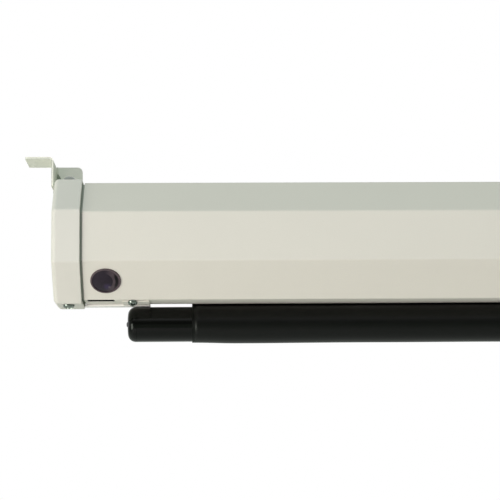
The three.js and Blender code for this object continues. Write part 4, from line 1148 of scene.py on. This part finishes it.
class SCREEN_OT_cloth(bpy.types.Operator):
    """Build the cloth: the winding on the roller, the drop and the hem round the bar."""

    bl_idname = "screen.cloth"
    bl_label = "Cloth"

    def execute(self, context):
        cloth = context.scene.screen_cloth
        self.hem(cloth)
        self.drop(cloth)
        self.winding(cloth)
        return {"FINISHED"}

    def sheet(self, name, places, normals, chart, thickness, *materials):
        """A sheet through a grid of places, with two skins half a thickness either side and a rim between."""
        quads = grid_faces(*places.shape[:2])
        triangles = np.concatenate([quads[:, [0, 1, 2]], quads[:, [0, 2, 3]]])
        flat = places.reshape(-1, 3), normals.reshape(-1, 3), triangles
        points, skins, rims = with_wall(*flat, thickness, thickness / 4, steps=4)
        mesh = bpy.data.meshes.new(name)
        mesh.from_pydata(points.tolist(), [], skins.tolist() + rims.tolist())
        chart = chart.reshape(-1, 2)
        corners = np.concatenate([skins.ravel(), rims.ravel()]) % len(chart)
        mesh.uv_layers.new(name="cloth").data.foreach_set("uv", chart[corners].astype(np.float32).ravel())
        piece = linked(name, mesh)
        mesh.shade_smooth()
        for material in materials:
            mesh.materials.append(material)
        return piece

    def drop(self, cloth):
        """The cloth between the roller and the hem. Its rows lie closer in the middle, so that they are evenly
        spaced when the bar is down. Its side edges turn back most half way down, as the square of the distance
        in from the last hand's width, and the map holds each point's height above the hem when let down."""
        rows, columns = 161, 61
        low, high = DROP_LOW, DROP_HIGH
        eased = np.linspace(0, 1, 4001)
        down = np.interp(np.linspace(0, 1, rows), smooth_step(eased), eased)
        down, across = np.meshgrid(down, np.linspace(-1, 1, columns), indexing="ij")
        x = across * high[0]
        z = high[2] - down * (high[2] - low[2])
        fall = smooth_step(down)
        edge = np.clip((np.abs(across) - 0.86) / 0.14, 0, 1) ** 2
        wave = 0.35 * MM * np.sin(across * 7.1 + 0.6) * np.cos(across * 2.3)
        y = SLOT_PLANE + 4 * fall * (1 - fall) * (cloth.curl * edge + wave)
        normals = np.broadcast_to([0.0, -1.0, 0.0], (rows, columns, 3))
        chart = np.stack([x, (z - low[2]) + (1 - fall) * TRAVEL], axis=-1)
        materials = screen_material(cloth), shared("black_backing", black_cloth, cloth, 0.2, 0.6)
        places = np.stack([x, y, z], axis=-1)
        piece = self.sheet("screen_drop_cloth", places, normals, chart, cloth.thickness, *materials)
        facing = np.empty(len(piece.data.polygons) * 3)
        piece.data.polygons.foreach_get("normal", facing)
        piece.data.polygons.foreach_set("material_index", (facing.reshape(-1, 3)[:, 1] > 0.3).astype(np.int32))
        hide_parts("fabric_drop")
        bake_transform(piece)

    def hem(self, cloth):
        """A sleeve round the bar. Its section comes down one side of the tab, eases onto a loop round the bar,
        goes round it and comes back up the other side. The loop hangs lower away from the sleeve's ends."""
        half = cloth.thickness / 2
        tab = half + 0.02 * MM
        reach = BAR_RADIUS + 0.35 * MM + half
        top = HEM_HIGH[2] - BAR_MIDDLE[2]
        round_steps, side_steps = 72, 15
        joined = math.radians(24)
        turn = np.linspace(math.pi / 2 - joined, -1.5 * math.pi + joined, round_steps + 1)
        loop = np.column_stack([np.cos(turn), np.sin(turn)]) * reach
        join_y, join_z = loop[0]
        rise = np.linspace(1, 0, side_steps)[:-1] * (top - join_z)
        lean = tab + (join_y - tab) * np.clip(1 - rise / (4 * MM), 0, 1) ** 2
        side = np.column_stack([lean, join_z + rise])
        section = np.concatenate([side, loop, (side * [-1, 1])[::-1]])
        first, last, fine = HEM_LOW[0], HEM_HIGH[0], 0.05
        spacing = ((first, first + fine, 13), (first + fine, last - fine, 60), (last - fine, last, 13))
        stations = np.unique(np.concatenate([np.linspace(*part) for part in spacing]))
        inward = np.minimum(stations - first, last - stations)
        loose = smooth_step(inward / 0.03) * (1 + 0.18 * np.sin(stations * 23) + 0.1 * np.sin(stations * 61 + 1))
        places = swept(stations, section + BAR_MIDDLE[1:])
        places[..., 2] -= cloth.sag * loose[:, None] * smooth_step((-section[:, 1] / reach + 0.2) / 1.2)
        along = np.gradient(section, axis=0)
        outward = np.column_stack([-along[:, 1], along[:, 0]])
        outward /= np.linalg.norm(outward, axis=1, keepdims=True)
        if outward[len(side) + round_steps // 2, 1] > 0:
            outward = -outward
        length = run_length(section)
        normals, chart = swept(np.zeros(len(stations)), outward), swept(stations, length[:, None])
        hemmed = shared("hem_cloth", black_cloth, cloth, 0.25, 0.36)
        piece = self.sheet("hem_sleeve", places, normals, chart, cloth.thickness, hemmed)
        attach(piece, "bottom_bar")
        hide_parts("fabric_hem")

    def winding(self, cloth):
        """The cloth on the roller, a spiral: its radius grows by the pitch, a little over one thickness, in each
        turn, from the tube out to the place where the drop leaves it."""
        outer, inner = half_height("fabric_roll"), half_height("roller_tube") + 0.25 * MM
        centre = node_middle("fabric_roll")[1:]
        pitch = 0.38 * MM
        turns = (outer - cloth.thickness - inner) / pitch
        wound = np.linspace(-turns, 0, int(turns * 48) + 1)
        radius = outer - cloth.thickness / 2 - 0.02 * MM + wound * pitch
        angle = wound * 2 * math.pi
        outward = np.column_stack([np.cos(angle), np.sin(angle)])
        section = radius[:, None] * outward
        first, last = ROLL_LOW[0], ROLL_HIGH[0]
        stations = np.linspace(first, last, 5)
        length = run_length(section)
        places, normals = swept(stations, section + centre), swept(np.zeros(len(stations)), outward)
        chart, backing = swept(stations, length[:, None]), shared("black_backing", black_cloth, cloth, 0.2, 0.6)
        piece = self.sheet("wound_cloth", places, normals, chart, cloth.thickness * 0.9, backing)
        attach(piece, "roller")
        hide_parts("fabric_roll")


INSIDE_FINISHES = {
    "casting": ["left_end_frame", "right_end_frame"],
    "black": [
        "power_inlet", "ir_carrier", "ir_sensor", "control_tray", "motor_head",
        "crown_ring", "drive_wheel", "idler_plug", "inlet_lead", "motor_lead", "sensor_lead",
    ],
    "board": ["ir_receiver_board", "control_board"],
    "pale": [
        "terminal_block", "motor_relay", "run_capacitor", "idler_bush", "fabric_key",
        "upper_limit_adjuster", "lower_limit_adjuster",
    ],
    "motor": ["motor_tube"],
    "roller": ["roller_tube"],
    "brass": ["inlet_pin_1", "inlet_pin_2"],
    "zinc": ["motor_screw_1", "motor_screw_2", "drive_shaft", "idler_pin"],
}


class SCREEN_OT_inside(bpy.types.Operator):
    """Finish the frame's own pieces that stay as they are."""

    bl_idname = "screen.inside"
    bl_label = "Inside finishes"

    def execute(self, context):
        tones = context.scene.screen_inside
        finishes = {
            "casting": shared("casting_paint", powder_coat, tones.casting, gloss=0.35, strength=0.12),
            "black": shared("black_moulding", moulded, tones.black),
            "board": shared("solder_mask", moulded, tones.board, gloss=0.7, grain=1.2 * MM),
            "pale": shared("pale_moulding", moulded, tones.pale),
            "motor": shared("motor_plating", metal, tones.motor, gloss=0.6),
            "roller": shared("mill_aluminium", metal, tones.roller, gloss=0.6),
            "brass": shared("brass_pin", metal, tones.brass, gloss=0.7),
            "zinc": screw_metal(),
        }
        for finish, nodes in INSIDE_FINISHES.items():
            for node in nodes:
                mesh = frame["nodes"][node].data
                mesh.materials.clear()
                mesh.materials.append(finishes[finish])
        return {"FINISHED"}


WHITE = (1.0, 1.0, 1.0)
FLOOR_REACH = 14.0
FLOOR_TONES = ((0.84, 0.84, 0.83), (0.88, 0.88, 0.87))
FLOOR_BEHIND = (-0.4, 0.4)  # from none to all of its glow in gloss, by Y
FLOOR_IN_GLOSS = 0.4  # share of the floor's glow that gloss sees behind the object
ROOM_BEHIND = (-0.5, 0.3)  # from dim to bright, by the Y of the way that gloss looks
ROOM_ABOVE = (0.2, 0.5)  # the same, by its Z
ROOM_TINT = (0.8, 1.0, 0.8)
LAMP_AIM = (-0.6, 0.0, 0.0)
LAMPS = {  # place, width and tint of each
    "left": ((-2.5, -1.3, -0.6), 1.2, (0.94, 0.98, 0.87)),
    "low": ((-1.6, -2.2, -1.0), 1.4, (0.98, 0.73, 0.9)),
    "top": ((-1.0, -1.6, 1.9), 1.4, (0.84, 0.88, 1.0)),
    "back": ((1.6, 3.0, 1.2), 2.0, (1.0, 0.9, 1.0)),
}
CAMERA_PLACE = (-0.7571, -1.20805, -0.17295)
CAMERA_TURN = (1.68, 8.05, -0.48)  # yaw, pitch and roll in degrees


class SCREEN_OT_stage(bpy.types.Operator):
    """Set the floor, the room's light, the lamps and the camera."""

    bl_idname = "screen.stage"
    bl_label = "Stage"

    def execute(self, context):
        stage = context.scene.screen_stage
        scene = context.scene
        scene.view_settings.view_transform = "Standard"
        self.floor(stage)
        self.room(scene, stage)
        self.lamps(scene, stage)
        self.camera(scene, stage)
        return {"FINISHED"}

    def floor(self, stage):
        """A wide level plane below the bar's lowest place. The camera sees it paler than the lamps light it, and so do
        gloss and glass for the part of it behind the object."""
        level = HEM_LOW[2] - TRAVEL - stage.floor_drop
        ends = FLOOR_REACH * np.array([(-1, -1), (1, -1), (1, 1), (-1, 1)])
        floor = new_object("floor", np.column_stack([ends, np.full(4, level)]), np.array([[0, 1, 2, 3]]))
        made, w, shader = new_material("pale_floor", Roughness=0.9, Specular_IOR_Level=0.1)
        place = w.place()
        ray = w.add("ShaderNodeLightPath").outputs
        behind = w.ranged(w.add("ShaderNodeSeparateXYZ", {0: place}).outputs[1], *FLOOR_BEHIND)
        in_gloss = w.times(ray["Is Glossy Ray"], w.times(behind, FLOOR_IN_GLOSS))
        seen = w.greatest(ray["Is Camera Ray"], ray["Is Transmission Ray"], in_gloss)
        tone = w.mixed(w.noise(place, 2.0, 4.0), *map(rgba, FLOOR_TONES))
        glow = w.mixed(seen, rgba((0, 0, 0)), rgba(WHITE))
        w.join(shader, {"Base Color": tone, "Emission Color": glow, "Emission Strength": stage.pale})
        floor.data.materials.append(made)

    def room(self, scene, stage):
        """The room lights matt surfaces at a plain level. The camera sees it white. Gloss and glass see it white
        behind the object and overhead, and dimmer behind the camera."""
        world = bpy.data.worlds.new("studio")
        world.use_nodes = True
        world.node_tree.nodes.clear()
        w = Wiring(world.node_tree)
        ray = w.add("ShaderNodeLightPath").outputs
        seen = w.greatest(ray["Is Camera Ray"], ray["Is Glossy Ray"], ray["Is Transmission Ray"])
        toward = w.add("ShaderNodeTexCoord").outputs["Generated"]
        toward = w.add("ShaderNodeSeparateXYZ", {0: toward}).outputs
        behind = w.ranged(toward[1], *ROOM_BEHIND, stage.dim)
        above, plain = w.ranged(toward[2], *ROOM_ABOVE), w.math("SUBTRACT", 1.0, ray["Is Glossy Ray"])
        tone = w.mixed(seen, rgba(ROOM_TINT), rgba(WHITE))
        strength = w.times(w.ranged(seen, 0.0, 1.0, stage.ambient), w.greatest(behind, above, plain))
        sky = w.add("ShaderNodeBackground", {"Color": tone, "Strength": strength})
        w.add("ShaderNodeOutputWorld", {"Surface": sky.outputs[0]})
        scene.world = world

    def lamps(self, scene, stage):
        """Large soft lamps, each aimed at the shown end of the case. The left one alone shows in gloss."""
        for name, (place, wide, tint) in LAMPS.items():
            lamp = bpy.data.lights.new(name + "_lamp", "AREA")
            lamp.energy = getattr(stage, name)
            lamp.size = wide
            lamp.color = tint
            lamp.shape = "SQUARE"
            made = bpy.data.objects.new(name + "_lamp", lamp)
            made.location = place
            made.rotation_euler = (Vector(LAMP_AIM) - Vector(place)).to_track_quat("-Z", "Y").to_euler()
            made.visible_camera = False
            made.visible_glossy = name == "left"
            scene.collection.objects.link(made)

    def camera(self, scene, stage):
        """The photograph's viewpoint: below the case near its shown end, looking up a little along +Y."""
        yaw, pitch, roll = (math.radians(angle) for angle in CAMERA_TURN)
        forward = Vector((math.sin(yaw) * math.cos(pitch), math.cos(yaw) * math.cos(pitch), math.sin(pitch)))
        level = Vector((math.cos(yaw), -math.sin(yaw), 0.0))
        right = math.cos(roll) * level + math.sin(roll) * level.cross(forward)
        turn = Matrix((right, right.cross(forward), -forward)).transposed().to_4x4()
        data = bpy.data.cameras.new("camera")
        data.lens = stage.lens
        data.sensor_width = 36.0
        data.clip_start = 0.05
        data.clip_end = 100.0
        camera = bpy.data.objects.new("camera", data)
        camera.matrix_world = Matrix.Translation(CAMERA_PLACE) @ turn
        scene.collection.objects.link(camera)
        scene.camera = camera


OPERATORS = (
    SCREEN_OT_case,
    SCREEN_OT_caps,
    SCREEN_OT_brackets,
    SCREEN_OT_covers,
    SCREEN_OT_window,
    SCREEN_OT_jack,
    SCREEN_OT_screws,
    SCREEN_OT_bar,
    SCREEN_OT_cloth,
    SCREEN_OT_inside,
    SCREEN_OT_stage,
)


class SCREEN_PT_panel(bpy.types.Panel):
    """Lists the steps that build the screen."""

    bl_label = "Projection screen"
    bl_idname = "SCREEN_PT_panel"
    bl_space_type = "VIEW_3D"
    bl_region_type = "UI"
    bl_category = "Screen"

    def draw(self, context):
        for operator in OPERATORS:
            self.layout.operator(operator.bl_idname)


CLASSES = (*SETTINGS.values(), *OPERATORS, SCREEN_PT_panel)


def register():
    """Registers the classes and adds the settings to the scene."""
    for kind in CLASSES:
        bpy.utils.register_class(kind)
    for name, group in SETTINGS.items():
        setattr(bpy.types.Scene, name, PointerProperty(type=group))


def unregister():
    """Takes off what register added, in reverse."""
    for name in SETTINGS:
        delattr(bpy.types.Scene, name)
    for kind in reversed(CLASSES):
        bpy.utils.unregister_class(kind)


def main():
    """Registers the add-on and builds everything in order."""
    register()
    for operator in OPERATORS:
        family, step = operator.bl_idname.split(".")
        getattr(getattr(bpy.ops, family), step)()


if __name__ == "__main__":
    main()
